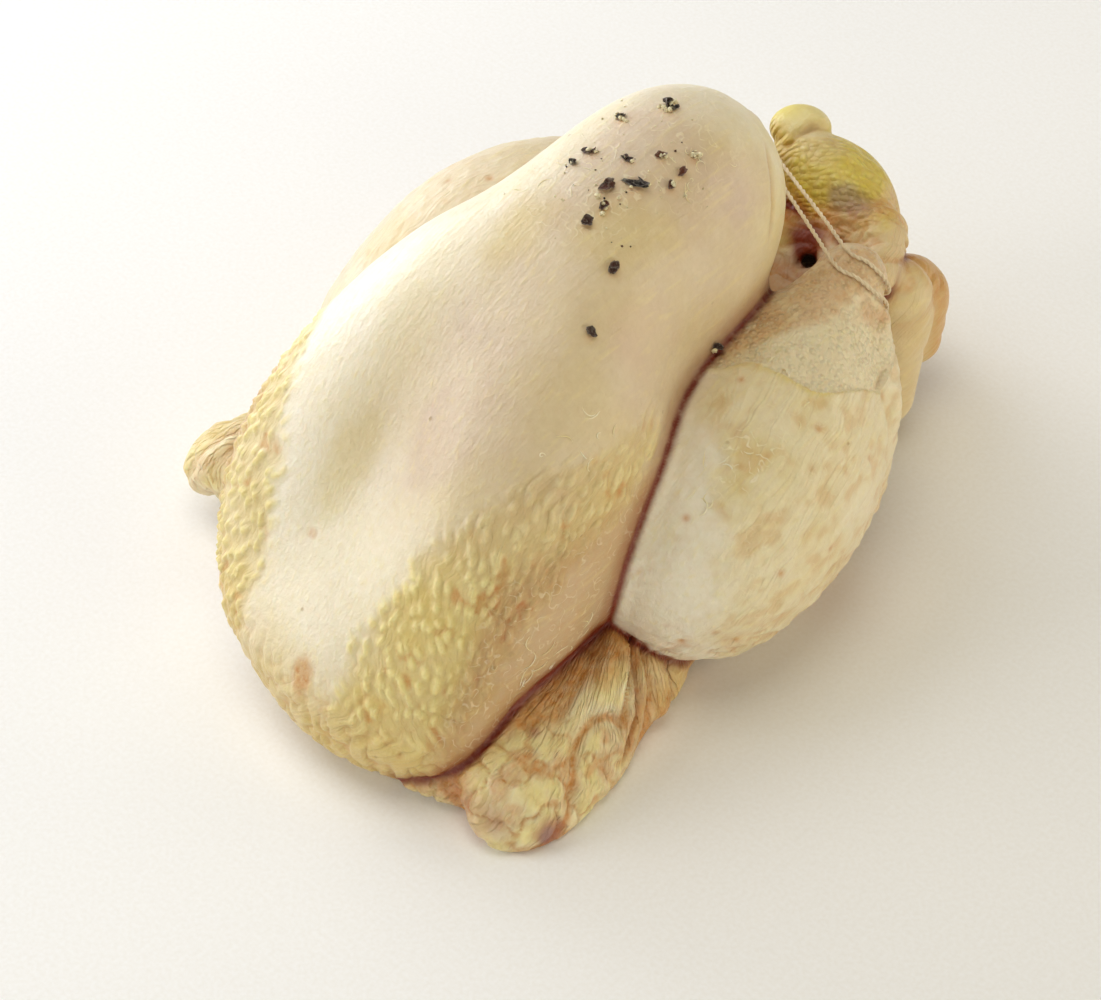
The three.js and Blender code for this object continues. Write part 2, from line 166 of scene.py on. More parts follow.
def wingForm(points, side, shoulder, elbow, wrist, tip, leadEnd):
    onSide = lambda v: np.array(v) * (side, 1, 1)
    webEnd = np.array(elbow) + (np.array(wrist) - elbow) * wing["webReach"]
    facing = onSide(wing["facing"])
    forearm = blade(points, elbow, wrist, wing["elbowRadius"], wing["wristRadius"],
                    facing, wing["forearmFlat"])
    web = blade(points, shoulder, webEnd, wing["shoulderRadius"], wing["webRadius"], facing, wing["webFlat"])
    hand = blade(points, onSide(wing["handRoot"]) + wrist, tip, wing["handRadius"], wing["tipRadius"],
                 onSide(wing["handFacing"]), wing["handFlat"])
    lead = blade(points, shoulder, wrist, wing["leadRadius"], leadEnd, facing, wing["webFlat"])
    sheet = blend(blend(forearm, web, wing["webBlend"]), lead, wing["webBlend"])
    return blend(sheet, hand, wing["handFold"])


def tailForm(points):
    mass = blend(egg(points, **tailEnd["mass"]), egg(points, **tailEnd["shoulder"]), tailEnd["shoulderBlend"])
    mass = blend(mass, taper(points, **tailEnd["skirt"]), tailEnd["skirtBlend"])
    return blend(mass, egg(points, **tailEnd["knob"]), tailEnd["knobBlend"])


def rumpForm(points):
    side, rear = taper(points, **tailEnd["sideLobe"]), taper(points, **tailEnd["rearLobe"])
    lobes = blend(side, rear, tailEnd["lobeFold"])
    return blend(lobes, egg(points, **tailEnd["leftLobe"]), tailEnd["lobeBlend"])


def partForms(points):
    return {
        "body": bodyForm(points), "rump": rumpForm(points),
        "rightLeg": legForm(points, 1, leg["rightHock"]),
        "leftLeg": legForm(points, -1, leg["leftHock"], leg["leftShift"]),
        "tail": tailForm(points),
        "rightWing": wingForm(points, **wing["right"]), "leftWing": wingForm(points, **wing["left"]),
    }


def birdForm(points):
    parts = partForms(points)
    form = blend(parts["body"], parts["rump"], creases["rump"])
    for name in ("rightLeg", "leftLeg", "tail", "rightWing", "leftWing"):
        form = blend(form, parts[name], creases[name])
    form = carve(form, egg(points, **tailEnd["vent"]), tailEnd["ventLip"])
    form = carve(form, taper(points, **tailEnd["hole"]), tailEnd["holeLip"])
    return np.maximum(form, -points[..., 2])


# seeded noise on a lattice, all sizes in mm

def lattice(cells, seed):
    c = cells.astype(np.int64).astype(np.uint32)
    h = c[..., 0] * np.uint32(73856093) ^ c[..., 1] * np.uint32(19349663) ^ c[..., 2] * np.uint32(83492791)
    h ^= np.uint32((seed * 2654435761) % 4294967296)
    for shift, factor in ((16, 2246822519), (13, 3266489917)):
        h = (h ^ (h >> np.uint32(shift))) * np.uint32(factor)
    return ((h ^ (h >> np.uint32(16))) & np.uint32(0xffffff)) / 16777215.0


def softNoise(points, size, seed):
    scaled = points / np.asarray(size, float)
    cell = np.floor(scaled)
    part = scaled - cell
    part = part * part * (3 - 2 * part)
    total = 0
    for corner in range(8):
        step = np.array([corner & 1, corner >> 1 & 1, corner >> 2])
        share = np.prod(np.where(step, part, 1 - part), -1)
        total = total + share * lattice(cell + step, seed)
    return total * 2 - 1


def layeredNoise(points, size, seed, layers=3):
    total, height = 0, 0
    for i in range(layers):
        total = total + softNoise(points + 17.3 * i, np.asarray(size, float) / 2 ** i, seed + i) / 2 ** i
        height += 1 / 2 ** i
    return total / height


def cellNoise(points, size, seed, jitter):
    # distance to the nearest scattered point in cells, and that point's own number
    scaled = points / np.asarray(size, float)
    cell = np.floor(scaled)
    nearest = np.full(len(points), 9.0)
    number = np.zeros(len(points))
    for i in range(27):
        here = cell + np.array([i % 3 - 1, i // 3 % 3 - 1, i // 9 - 1])
        spot = np.stack([lattice(here, seed + k) for k in range(3)], -1)
        away = np.sqrt(((here + 0.5 + (spot - 0.5) * jitter - scaled) ** 2).sum(-1))
        closer = away < nearest
        number = np.where(closer, lattice(here, seed + 7), number)
        nearest = np.where(closer, away, nearest)
    return nearest, number


def billow(places, seed):
    # rounded ridges with sharp valleys between them, from 0 in a valley to 1, about one ridge to a unit
    return np.minimum(3.2 * np.abs(layeredNoise(places, 1.3, seed, 2)), 1)


def ramp(value, low, high):
    t = np.clip((value - low) / (high - low), 0, 1)
    return t * t * (3 - 2 * t)


def ovalDistance(points, middle, radii):
    # 0 in the middle of an oval and 1 on it
    return np.linalg.norm((points - np.array(middle)) / radii, axis=1)


def alongPath(points, path):
    # distance along a path of points, and the way from the path to each point
    path = np.array(path, float)
    best = np.full(len(points), 1e9)
    along, offset = np.zeros(len(points)), np.zeros((len(points), 3))
    done = 0.0
    for a, b in zip(path[:-1], path[1:]):
        run = b - a
        length = np.linalg.norm(run)
        t = np.clip((points - a) @ run / length ** 2, 0, 1)
        away = points - a - t[:, None] * run
        closer = (away ** 2).sum(1) < best
        along = np.where(closer, done + t * length, along)
        offset = np.where(closer[:, None], away, offset)
        best = np.where(closer, (away ** 2).sum(1), best)
        done += length
    return along, offset


def lumps(u, v, pitch, size, seed, scatter=0.6):
    # soft oval lumps in staggered rows that run along u, all in mm
    row = np.floor(v / pitch[1])
    total = np.zeros(len(u))
    for j in (-1, 0, 1):
        r = row + j
        shift = 0.5 * (r % 2)
        for i in (-1, 0, 1):
            c = np.floor(u / pitch[0] - shift) + i
            key = np.stack([c, r, 0 * r], 1)
            grow = 0.55 + 0.45 * lattice(key, seed + 2)
            du = u - (c + 0.5 + shift + scatter * (lattice(key, seed) - 0.5)) * pitch[0]
            dv = v - (r + 0.5 + scatter * (lattice(key, seed + 1) - 0.5)) * pitch[1]
            total = np.maximum(total, grow * np.exp(-(du / size[0]) ** 2 - (dv / size[1]) ** 2))
    return total


# from a form to a skin of quads

def sampleForm(form, low, high, step):
    # a form's values on a grid, a slab at a time
    axes = [np.arange(l, h + step, step, dtype=np.float32) for l, h in zip(low, high)]
    values = np.empty([len(a) for a in axes], np.float32)
    across = np.stack(np.meshgrid(axes[1], axes[2], indexing="ij"), -1)
    for start in range(0, len(axes[0]), 12):
        xs = axes[0][start:start + 12]
        slab = np.empty((len(xs), *across.shape[:2], 3), np.float32)
        slab[..., 0] = xs[:, None, None]
        slab[..., 1:] = across
        values[start:start + 12] = form(slab)
    return axes, values


def skinOver(form, low, high, step):
    # one point in every grid cell that the surface crosses, and one quad round every edge that it crosses
    axes, values = sampleForm(form, low, high, step)
    corners = np.array([[c & 1, c >> 1 & 1, c >> 2] for c in range(8)])
    inside = values < 0
    n = np.array(values.shape) - 1
    count = sum(inside[a:a + n[0], b:b + n[1], c:c + n[2]].astype(np.int8) for a, b, c in corners)
    cells = np.argwhere((count > 0) & (count < 8))
    at = cells[:, None, :] + corners
    cornerValues = values[at[..., 0], at[..., 1], at[..., 2]]
    total = np.zeros((len(cells), 3))
    crossings = np.zeros(len(cells))
    for a in range(8):
        for flip in (1, 2, 4):
            b = a ^ flip
            if b < a:
                continue
            va, vb = cornerValues[:, a], cornerValues[:, b]
            crosses = (va < 0) != (vb < 0)
            t = np.where(crosses, va / np.where(crosses, va - vb, 1), 0)[:, None]
            total += np.where(crosses[:, None], corners[a] + t * (corners[b] - corners[a]), 0)
            crossings += crosses
    start = np.array([a[0] for a in axes])
    points = (cells + total / crossings[:, None]) * step + start
    index = np.full(values.shape, -1, np.int64)
    index[cells[:, 0], cells[:, 1], cells[:, 2]] = np.arange(len(cells))
    quads = []
    for axis in range(3):
        ahead = np.roll(inside, -1, axis)
        changed = inside != ahead
        changed[tuple(slice(-1, None) if k == axis else slice(None) for k in range(3))] = False
        edges = np.argwhere(changed)
        u, v = np.eye(3, dtype=int)[(axis + 1) % 3], np.eye(3, dtype=int)[(axis + 2) % 3]
        ring = np.stack([index[tuple((edges - s).T)] for s in (u + v, v, 0 * u, u)], 1)
        outward = inside[tuple(edges.T)]
        quads.append(np.where(outward[:, None], ring, ring[:, ::-1]))
    return points, np.concatenate(quads)


def edgesOf(quads):
    return np.concatenate([quads[:, [k, (k + 1) % 4]] for k in range(4)])


def split(points, quads):
    # every quad becomes four
    unique, back = np.unique(np.sort(edgesOf(quads), 1), axis=0, return_inverse=True)
    middle = len(points) + back.reshape(4, -1).T
    centre = len(points) + len(unique) + np.arange(len(quads))
    allPoints = np.vstack([points, points[unique].mean(1), points[quads].mean(1)])
    parts = [np.stack([quads[:, k], middle[:, k], centre, middle[:, k - 1]], 1) for k in range(4)]
    return allPoints, np.concatenate(parts)


def slopeOf(form, points, reach=0.6):
    # the outward direction of a form at each point
    slope = np.empty((len(points), 3))
    for axis in range(3):
        step = np.zeros(3, np.float32)
        step[axis] = reach
        slope[:, axis] = form((points + step).astype(np.float32)) - form((points - step).astype(np.float32))
    return slope / np.maximum(np.linalg.norm(slope, axis=1), 1e-9)[:, None]


def relax(points, quads, share, rounds):
    # pull every point towards the middle of its neighbours
    edges = edgesOf(quads)
    ends = np.concatenate([edges, edges[:, ::-1]])
    number = np.bincount(ends[:, 0], minlength=len(points))[:, None]
    total = lambda values: np.bincount(ends[:, 0], values[ends[:, 1]], len(values))
    for _ in range(rounds):
        around = np.stack([total(points[:, k]) for k in range(points.shape[1])], 1)
        points = points + share * (around / number - points)
    return points


def soften(values, quads, rounds):
    return relax(values[:, None], quads, 0.6, rounds)[:, 0]


def makeObject(name, points, faces, smooth=True):
    mesh = bpy.data.meshes.new(name)
    placed = (np.asarray(points) - footprintMiddle) * millimetre
    mesh.from_pydata(placed.tolist(), [], [list(map(int, f)) for f in faces])
    mesh.validate()
    mesh.update()
    mesh.polygons.foreach_set("use_smooth", [smooth] * len(mesh.polygons))
    piece = bpy.data.objects.new(name, mesh)
    bpy.context.scene.collection.objects.link(piece)
    return piece


def addMask(piece, name, values):
    layer = piece.data.attributes.new(name, "FLOAT", "POINT")
    layer.data.foreach_set("value", np.asarray(values, np.float32))


def addPlace(piece, name, values):
    layer = piece.data.attributes.new(name, "FLOAT_VECTOR", "POINT")
    layer.data.foreach_set("vector", np.asarray(values, np.float32).ravel())


# materials

def linear(hexColour):
    parts = [int(hexColour[i:i + 2], 16) / 255 for i in (1, 3, 5)]
    return [c / 12.92 if c <= 0.04045 else ((c + 0.055) / 1.055) ** 2.4 for c in parts] + [1]


def addNode(material, kind, settings=None, **links):
    # links: an input's name with _ for spaces, or i0, i1 ... by number, to a socket or a plain value
    tree = material.node_tree
    node = tree.nodes.new(kind)
    for key, value in (settings or {}).items():
        setattr(node, key, value)
    for key, value in links.items():
        place = int(key[1:]) if key[0] == "i" and key[1:].isdigit() else key.replace("_", " ")
        if isinstance(value, bpy.types.NodeSocket):
            tree.links.new(value, node.inputs[place])
        else:
            node.inputs[place].default_value = value
    return node


def newMaterial(name):
    material = bpy.data.materials.new(name)
    material.use_nodes = True
    material.node_tree.nodes.clear()
    return material


def finishMaterial(material, shader):
    addNode(material, "ShaderNodeOutputMaterial", Surface=shader.outputs["BSDF"])
    return material


def mask(material, name):
    return addNode(material, "ShaderNodeAttribute", {"attribute_name": name}).outputs["Fac"]


def vector(material, name):
    return addNode(material, "ShaderNodeAttribute", {"attribute_name": name}).outputs["Vector"]


def maths(material, operation, a, b=0.0, clamp=False):
    settings = {"operation": operation, "use_clamp": clamp}
    return addNode(material, "ShaderNodeMath", settings, i0=a, i1=b).outputs[0]


def perMetre(size):
    # a texture's scale for marks of a size in mm
    return 1000 / size


def noiseAt(material, at, scale, detail, rough=0.5):
    node = addNode(material, "ShaderNodeTexNoise", Vector=at, Scale=scale, Detail=detail, Roughness=rough)
    return node.outputs["Fac"]


def cellsAt(material, at, scale, jitter):
    # scattered cells: how far the nearest one is, and a colour of its own
    return addNode(material, "ShaderNodeTexVoronoi", Vector=at, Scale=scale, Randomness=jitter).outputs


def tint(material, share, under, over, mode="MIX"):
    # colour sockets of the Mix node sit at 6 and 7, and its result at 2
    settings = {"data_type": "RGBA", "blend_type": mode}
    return addNode(material, "ShaderNodeMix", settings, i0=share, i6=under, i7=over).outputs[2]


def spread(material, value, low, high, toLow=0.0, toHigh=1.0):
    ends = dict(i1=low, i2=high, i3=toLow, i4=toHigh)
    return addNode(material, "ShaderNodeMapRange", {"clamp": True}, i0=value, **ends).outputs[0]


# skin: where each kind of skin lies, and its relief

maskNames = ("fat", "deep", "paleAndHighlight", "pink", "rawBrownAndShade", "blood", "bruise", "holeShade", "creaseShade", "warmShade",
             "folds", "rows", "goose", "fibre", "onWing")
skin = {
    "step": 1.7, "low": (-100, -112, -1.7), "high": (100, 160, 146),
    "waves": ((28, 0.55), (7, 0.12)),
    # seams: the groove, a painted dark shade line in it, painted brown shade beside it and a wider painted
    # warm shade round it
    "grooveWidth": 1.0, "grooveDepth": 1.1, "lineWidth": (1.3, 0.8), "line": 1.5,
    "besideWidth": 4, "beside": 0.5, "warmShadeWidth": 4.5, "warmShade": 0.6,
    # feather tract: its path, its half width at three distances along it, and its lumps
    "tract": [(48.6, -4, 82), (51.4, -15.7, 81.4), (52.8, -26, 80.4), (51, -41.6, 81), (49, -56, 75),
              (45, -69, 66.5), (41, -81, 52), (38.4, -91, 38), (38, -97, 26)],
    "tractStations": (2, 22, 85), "tractHalfWidth": (7, 12, 19), "tractUp": (-0.55, -0.35, 0.75),
    "tractPitch": (5, 2.9), "tractLump": (1.9, 0.85), "tractRelief": 1.6,
    # length and width of the finest wrinkles in three regions
    "tractGrain": (7.5, 2.1), "wingGrain": (8, 1.3), "tailGrain": (2.7, 1.75),
    # edges of the outer skin on the leg: its torn top, its smooth neighbour and the slit under the hock
    "cuticleX": [38, 43, 47, 54, 61, 64, 67, 70, 71.5, 72.5, 80],
    "cuticleY": [34, 36, 39.4, 42, 43.2, 44.7, 46.5, 51.4, 59.6, 68, 120],
    "patchY": [-12, -1, 2, 12, 15, 18, 25, 36], "patchX": [80, 74, 66.5, 60, 52, 46, 43, 43],
    "slitY": [40, 60, 68, 85, 95], "slitZ": [50, 58, 62.3, 61.5, 66],
    "cuticleLip": 0.45, "pitPitch": 8.5, "pitRadius": 1.15, "pitDepth": 0.3,
    "curlsAt": (66, 14, 71), "curlsRadii": (9, 17, 9),
    # wing: folds fan out from the elbow
    "elbow": (57, -30, 29), "fanRadius": 30, "foldPitch": 6.5, "foldLength": 34, "foldRelief": 3.0,
    "crumplePitch": 5, "crumpleRelief": 1.3,
    # tail: the axis its rows of follicles turn round, mm to a degree, the rows' slant, and its smooth knob
    "tailAxis": (3, 133, 45), "tailTurn": 0.42, "tailSlant": (0.78, 0.62),
    "knobAt": (-13, 138, 74), "knobRadii": (11, 9, 7),
}
# lines drawn over the skin: path, half width and depth of the groove, height of the rolled edge beside it
# with the side that it is on, and the strength of the brown painted shade along it
creaseLines = {
    "hand": dict(width=1.2, depth=2.4, lip=1.3, towards=(-0.3, -0.9, 0), stainAndShade=0.6,
                 path=[(58, -27, 29), (63.5, -26, 26.7), (69.2, -31.2, 20.2), (74.7, -36.7, 12.9),
                       (77.6, -42.3, 9.2), (80, -50, 5)]),
    "breastEdge": dict(width=0.8, depth=0.8, lip=0.3, towards=(-0.6, -0.6, 0), stainAndShade=0.25,
                       path=[(15, 80, 119), (22.3, 75.4, 115), (27, 71.7, 109), (30, 68, 102),
                             (31.5, 65.7, 94.7)]),
    "legSlit": dict(width=0.7, depth=0.6, lip=0.5, towards=(0.3, 0.2, -0.9), stainAndShade=0.2,
                    path=[(72.5, 67, 64), (69, 74, 62.5), (63, 82, 61.5), (57, 89, 65)]),
    "knob": dict(width=1.1, depth=1.5, lip=0.6, towards=(-0.8, 0, 0.6), stainAndShade=0.3,
                 path=[(-13, 125, 69), (-11, 128, 70.8), (-9.3, 135.9, 72.9), (-6.9, 142.5, 69.5)]),
}
# places of their own colour, and places of painted shade in the vent, its hole and the wing's crease: which
# mask, how strong, middle and radii
patches = {
    "breast": [
        ("pink", 0.6, (15, -50, 95), (11, 34, 14)), ("pink", 0.45, (6, 42, 133), (14, 15, 9)),
        ("pink", 0.5, (25, 62, 116), (9, 16, 14)), ("fat", 0.6, (16, 50, 128), (12, 15, 10)),
        # the yellow at (-2, -2, 124) is painted shade, a yellower patch where shade lies on the breast
        ("fat", 0.55, (-2, -2, 124), (9, 18, 9)), ("fat", 0.7, (16, 18, 125), (17, 16, 9)),
        ("fat", 0.5, (26, 38, 122), (9, 12, 9)), ("fat", 0.35, (-9, -60, 78), (7, 26, 14)),
        ("fat", 0.4, (12, 88, 108), (9, 13, 16)), ("rawBrownAndShade", 0.12, (36, 5, 106), (12, 12, 12)),
    ],
    "legs": [("fat", 0.5, (-70, 14, 70), (9, 12, 9)), ("rawBrownAndShade", 0.55, (82, 42, 18), (8, 12, 9))],
    "vent": [
        ("fat", 0.7, (3, 110, 55), (6, 8, 8)), ("rawBrownAndShade", 1.0, (9, 116, 55), (10, 9, 9)),
        # painted shade: near black inside the vent's hole, and dark red-brown round it and in the vent
        ("blood", 0.12, (15, 117, 55), (6, 6, 5)), ("holeShade", 0.85, (10.5, 114.5, 44), (4, 4, 5)),
        ("creaseShade", 0.8, (10, 114, 49), (8, 7, 9)), ("blood", 0.1, (11, 115, 53), (8, 8, 7)),
        ("creaseShade", 0.5, (8, 114, 54), (7, 6, 6)), ("creaseShade", 0.3, (14, 106, 50), (9, 8, 7)),
        ("fat", 0.5, (8, 84, 75), (12, 10, 12)), ("pink", 0.6, (12, 98, 47), (12, 12, 10)),
        ("rawBrownAndShade", 0.65, (12, 94, 45), (14, 14, 12)),
    ],
    "tail": [
        ("pink", 0.5, (-3, 133, 72), (9, 8, 4)), ("bruise", 0.6, (15.5, 125.8, 64.5), (8, 6, 4)),
        ("rawBrownAndShade", 0.75, (22, 128, 62), (9, 7, 4)), ("deep", 0.6, (-1, 119, 60), (7, 5, 6)),
        ("rawBrownAndShade", 0.4, (-2, 118, 60), (7, 6, 6)), ("fat", 0.8, (1, 112, 66), (6, 9, 12)),
    ],
    "neck": [("rawBrownAndShade", 0.8, (8.2, -101, 32), (4, 5, 7)), ("rawBrownAndShade", 0.4, (-9.2, -78.3, 60), (1.5, 1.5, 1.5))],
    "rightWing": [
        ("blood", 0.4, (62, -88, 9), (12, 5, 6)), ("rawBrownAndShade", 0.6, (52, -86, 10), (10, 8, 7)),
        ("rawBrownAndShade", 0.6, (77, -30, 8), (8, 17, 10)), ("bruise", 0.6, (80, -79.5, 4), (2.4, 2.4, 3)),
        ("blood", 0.7, (80, -78, 4), (5, 5, 5)), ("blood", 0.5, (63, -65.6, 21.8), (2, 2, 2)),
        # painted shade: dark red-brown in the crease at the wing's shoulder
        ("rawBrownAndShade", 0.9, (58, -36, 27), (9, 11, 8)), ("creaseShade", 0.25, (56, -34, 29), (7, 7, 6)),
    ],
}
# cracked pepper on the breast, set out here because its oil and a painted shadow beside each flake also
# colour the skin
pepper = {
    # place, length, width and turn of each flake, how brown its husk is, its shards and its pale bits
    "flakes": [
        ((-8, 46, 133), 4.6, 3.4, 70, 0.1, 2, 5), ((0, 57.5, 134), 5.0, 4.0, 10, 0.15, 5, 11),
        ((-5.5, 30.5, 132), 4.0, 2.8, 20, 0.35, 1, 2), ((-6.5, 25, 130), 2.6, 2.0, 0, 0.1, 3, 1),
        ((4.5, 34.5, 132), 3.0, 1.9, 30, 0.2, 2, 2), ((6.5, 24, 130), 5.2, 3.2, 100, 0.5, 3, 0),
        ((10, 19, 129), 4.4, 3.6, 60, 0.5, 3, 6), ((11.5, 30.5, 130), 6.4, 2.6, 35, 0.0, 3, 1),
        ((10, 42.5, 132), 3.2, 2.4, 80, 1.0, 2, 2), ((16.5, 44, 129), 3.2, 2.2, 95, 0.8, 1, 0),
        ((17, 38.5, 128), 2.8, 2.0, 80, 0.7, 1, 2), ((15, 50.5, 130), 3.0, 2.4, 150, 0.2, 1, 5),
        ((10, 12.5, 127), 3.4, 3.2, 0, 0.4, 2, 0), ((23, 9, 121), 4.2, 2.6, 120, 0.45, 3, 0),
        ((30.5, -8.5, 114), 3.4, 2.6, 40, 0.2, 1, 0), ((34, 40, 75), 3.2, 2.4, 60, 0.2, 1, 1),
    ],
    "rings": 4, "around": 14, "thickness": 0.45, "cup": 0.34, "seed": 11,
    # beside each flake: an oil stain with a painted shadow, which way it lies from the flake, how far it
    # reaches and how strong it is
    "stainAndShadeAside": (0.8, -0.8, -0.5), "stainAndShadeReach": 0.55, "stainAndShade": 0.4,
    "dust": 70, "dustMiddle": (8, 34, 131), "dustSpread": (11, 15), "dustSize": (0.14, 0.36),
    "paleDust": 0.72,
}


def grooveAlong(points, path, width, depth, lip, towards, stainAndShade):
    # relief of one line over the skin, with a rolled edge on one side, and the painted shade along it
    along, offset = alongPath(points, path)
    length = sum(np.linalg.norm(np.subtract(b, a)) for a, b in zip(path[:-1], path[1:]))
    fade = ramp(along, 0, 0.2 * length) * ramp(length - along, 0, 0.2 * length)
    away = np.linalg.norm(offset, axis=1)
    side = offset @ (np.array(towards) / np.linalg.norm(towards))
    rolled = np.exp(-((side - 2 * width) / (1.6 * width)) ** 2) * ramp(away, 6 * width, 3 * width)
    line = np.exp(-(away / width) ** 2)
    return fade * (lip * rolled - depth * line), fade * stainAndShade * np.exp(-(away / (1.4 * width)) ** 2)


def nearness(parts, names, width):
    # 1 on the named parts and 0 on the others, with a soft change between them
    mine = np.minimum.reduce([parts[n] for n in names])
    others = np.minimum.reduce([parts[n] for n in parts if n not in names])
    return ramp(others - mine, -width, width)


def openness(points, normals):
    # how open the skin is to the air: 1 on a bulge, 0 deep in a fold
    total, weight = 0, 0
    for reach, share in ((1.5, 0.7), (4, 1.0), (9, 0.8)):
        gap = birdForm((points + normals * reach).astype(np.float32))
        total = total + share * np.clip(gap / reach, 0, 1)
        weight += share
    return total / weight


def seamDistance(points, reach=0.8):
    # distance in mm to the nearest seam between two parts
    def gapAt(places):
        parts = list(partForms(places.astype(np.float32)).values())
        nearest, second = np.sort(np.stack(parts), 0)[:2]
        return second - nearest

    ways = reach * np.eye(3)
    ahead = np.stack([gapAt(points + way) for way in ways], 1)
    behind = np.stack([gapAt(points - way) for way in ways], 1)
    slope = np.linalg.norm(ahead - behind, axis=1) / (2 * reach)
    return gapAt(points) / np.clip(slope, 0.25, 2)


def surveySkin(points, quads):
    parts = partForms(points.astype(np.float32))
    mirrored = points.copy()
    mirrored[:, 0] = np.abs(mirrored[:, 0])
    survey = {
        "points": points, "mirrored": mirrored, "right": points[:, 0] > 0,
        "normals": slopeOf(birdForm, points, 1.2),
        "blotch": layeredNoise(points, 22, 3), "fine": layeredNoise(points, 6, 5),
    }
    survey["open"] = soften(openness(points, survey["normals"]), quads, 3)
    survey["seam"] = soften(seamDistance(points), quads, 2)
    regions = {
        "onLeg": ["rightLeg", "leftLeg"], "onWing": ["rightWing", "leftWing"], "onTail": ["tail"],
        "onRump": ["rump"], "onBody": ["body"],
    }
    for name, own in regions.items():
        survey[name] = nearness(parts, own, 1.6)
    return survey


def tractSkin(s):
    # feather tract: long staggered lumps with yellow tips on both sides of the breast, wider towards the neck
    along, offset = alongPath(s["mirrored"], skin["tract"])
    up = offset @ (np.array(skin["tractUp"]) / np.linalg.norm(skin["tractUp"]))
    wander = 2.2 * softNoise(s["mirrored"], 11, 22) + 0.8 * softNoise(s["mirrored"], 4, 23)
    half = np.interp(along, skin["tractStations"], skin["tractHalfWidth"])
    away = np.linalg.norm(offset, axis=1) + 4 * layeredNoise(s["mirrored"], 9, 21) - half
    low = s["onBody"] * ramp(s["points"][:, 2], 14, 34)
    share, raised = low * ramp(away, 3, -5), low * ramp(away, 6, -3)
    # the rows of lumps slant across the tract
    u, v = -0.92 * along + 0.39 * up + wander, 0.92 * up + 0.39 * along + 0.8 * wander
    tips = lumps(u, v, skin["tractPitch"], skin["tractLump"], 24, 1.0)
    grainLength, grainWidth = skin["tractGrain"]
    s["tractPlace"] = np.stack([u / grainLength, v / grainWidth, s["points"][:, 2] / 40], 1)
    spots = ramp(tips, 0.3, 0.05) * ramp(s["fine"], 0.2, 0.5)
    return raised * skin["tractRelief"] * (tips - 0.3), {
        "fat": 0.6 * share + 0.2 * raised * tips,
        "deep": 0.1 * share,
        # the pale tips are yellow skin with a painted highlight; the brown between the lumps is painted
        # shade, the small orange spots are the skin's own
        "paleAndHighlight": raised * ramp(tips, 0.25, 0.65),
        "rawBrownAndShade": share * (0.65 * spots + 0.13 * ramp(tips, 0.4, 0.05)),
        "folds": 0.16 * share + 0.03 * s["onBody"],
    }


def tailSkin(s):
    # tail: yellow skin with slanting rows of follicles, plain wrinkles low on its right, and a smooth knob
    x, y, z = s["points"].T
    axisX, axisY, axisZ = skin["tailAxis"]
    around = (180 - np.degrees(np.arctan2(z - axisZ, y - axisY))) * skin["tailTurn"]
    across = x - axisX
    wander = 0.9 * softNoise(s["points"], 7, 31)
    level, rise = skin["tailSlant"]
    u, v = level * across + rise * around + wander, level * around - rise * across + wander
    lowRight = ramp(z - 0.25 * (x - 12) + 2.5 * s["fine"], 64, 57) * ramp(x, 4, 12)
    knob = ramp(ovalDistance(s["points"], skin["knobAt"], skin["knobRadii"]), 1.15, 0.75)
    follicles = s["onTail"] * (1 - lowRight) * (1 - knob)
    big = billow(np.stack([u / 9, v / 4.2, 0 * u], 1), 33)
    wrinkles = billow(np.stack([u / 10, v / 2.8, z / 30], 1), 34)
    plain = s["onTail"] * lowRight
    relief = follicles * 1.5 * (big - 0.5) * ramp(x + y - z, 62, 84) + plain * 1.3 * (wrinkles - 0.5)
    grainLength, grainWidth = skin["tailGrain"]
    s["tailPlace"] = np.stack([u / grainLength, v / grainWidth, z / 60], 1)
    return relief, {
        "fat": follicles * 0.85 + plain * 0.65 + s["onTail"] * knob * 0.6,
        "deep": follicles * (0.8 + 0.3 * s["fine"]) + s["onTail"] * knob * (0.3 + 0.5 * ramp(x, -13, -22)),
        # brown skin low on the right, darker in the wrinkles' valleys with painted shade
        "rawBrownAndShade": plain * (0.3 + 0.4 * ramp(wrinkles, 0.45, 0.1)),
        "rows": follicles,
        "folds": 0.25 * plain,
    }


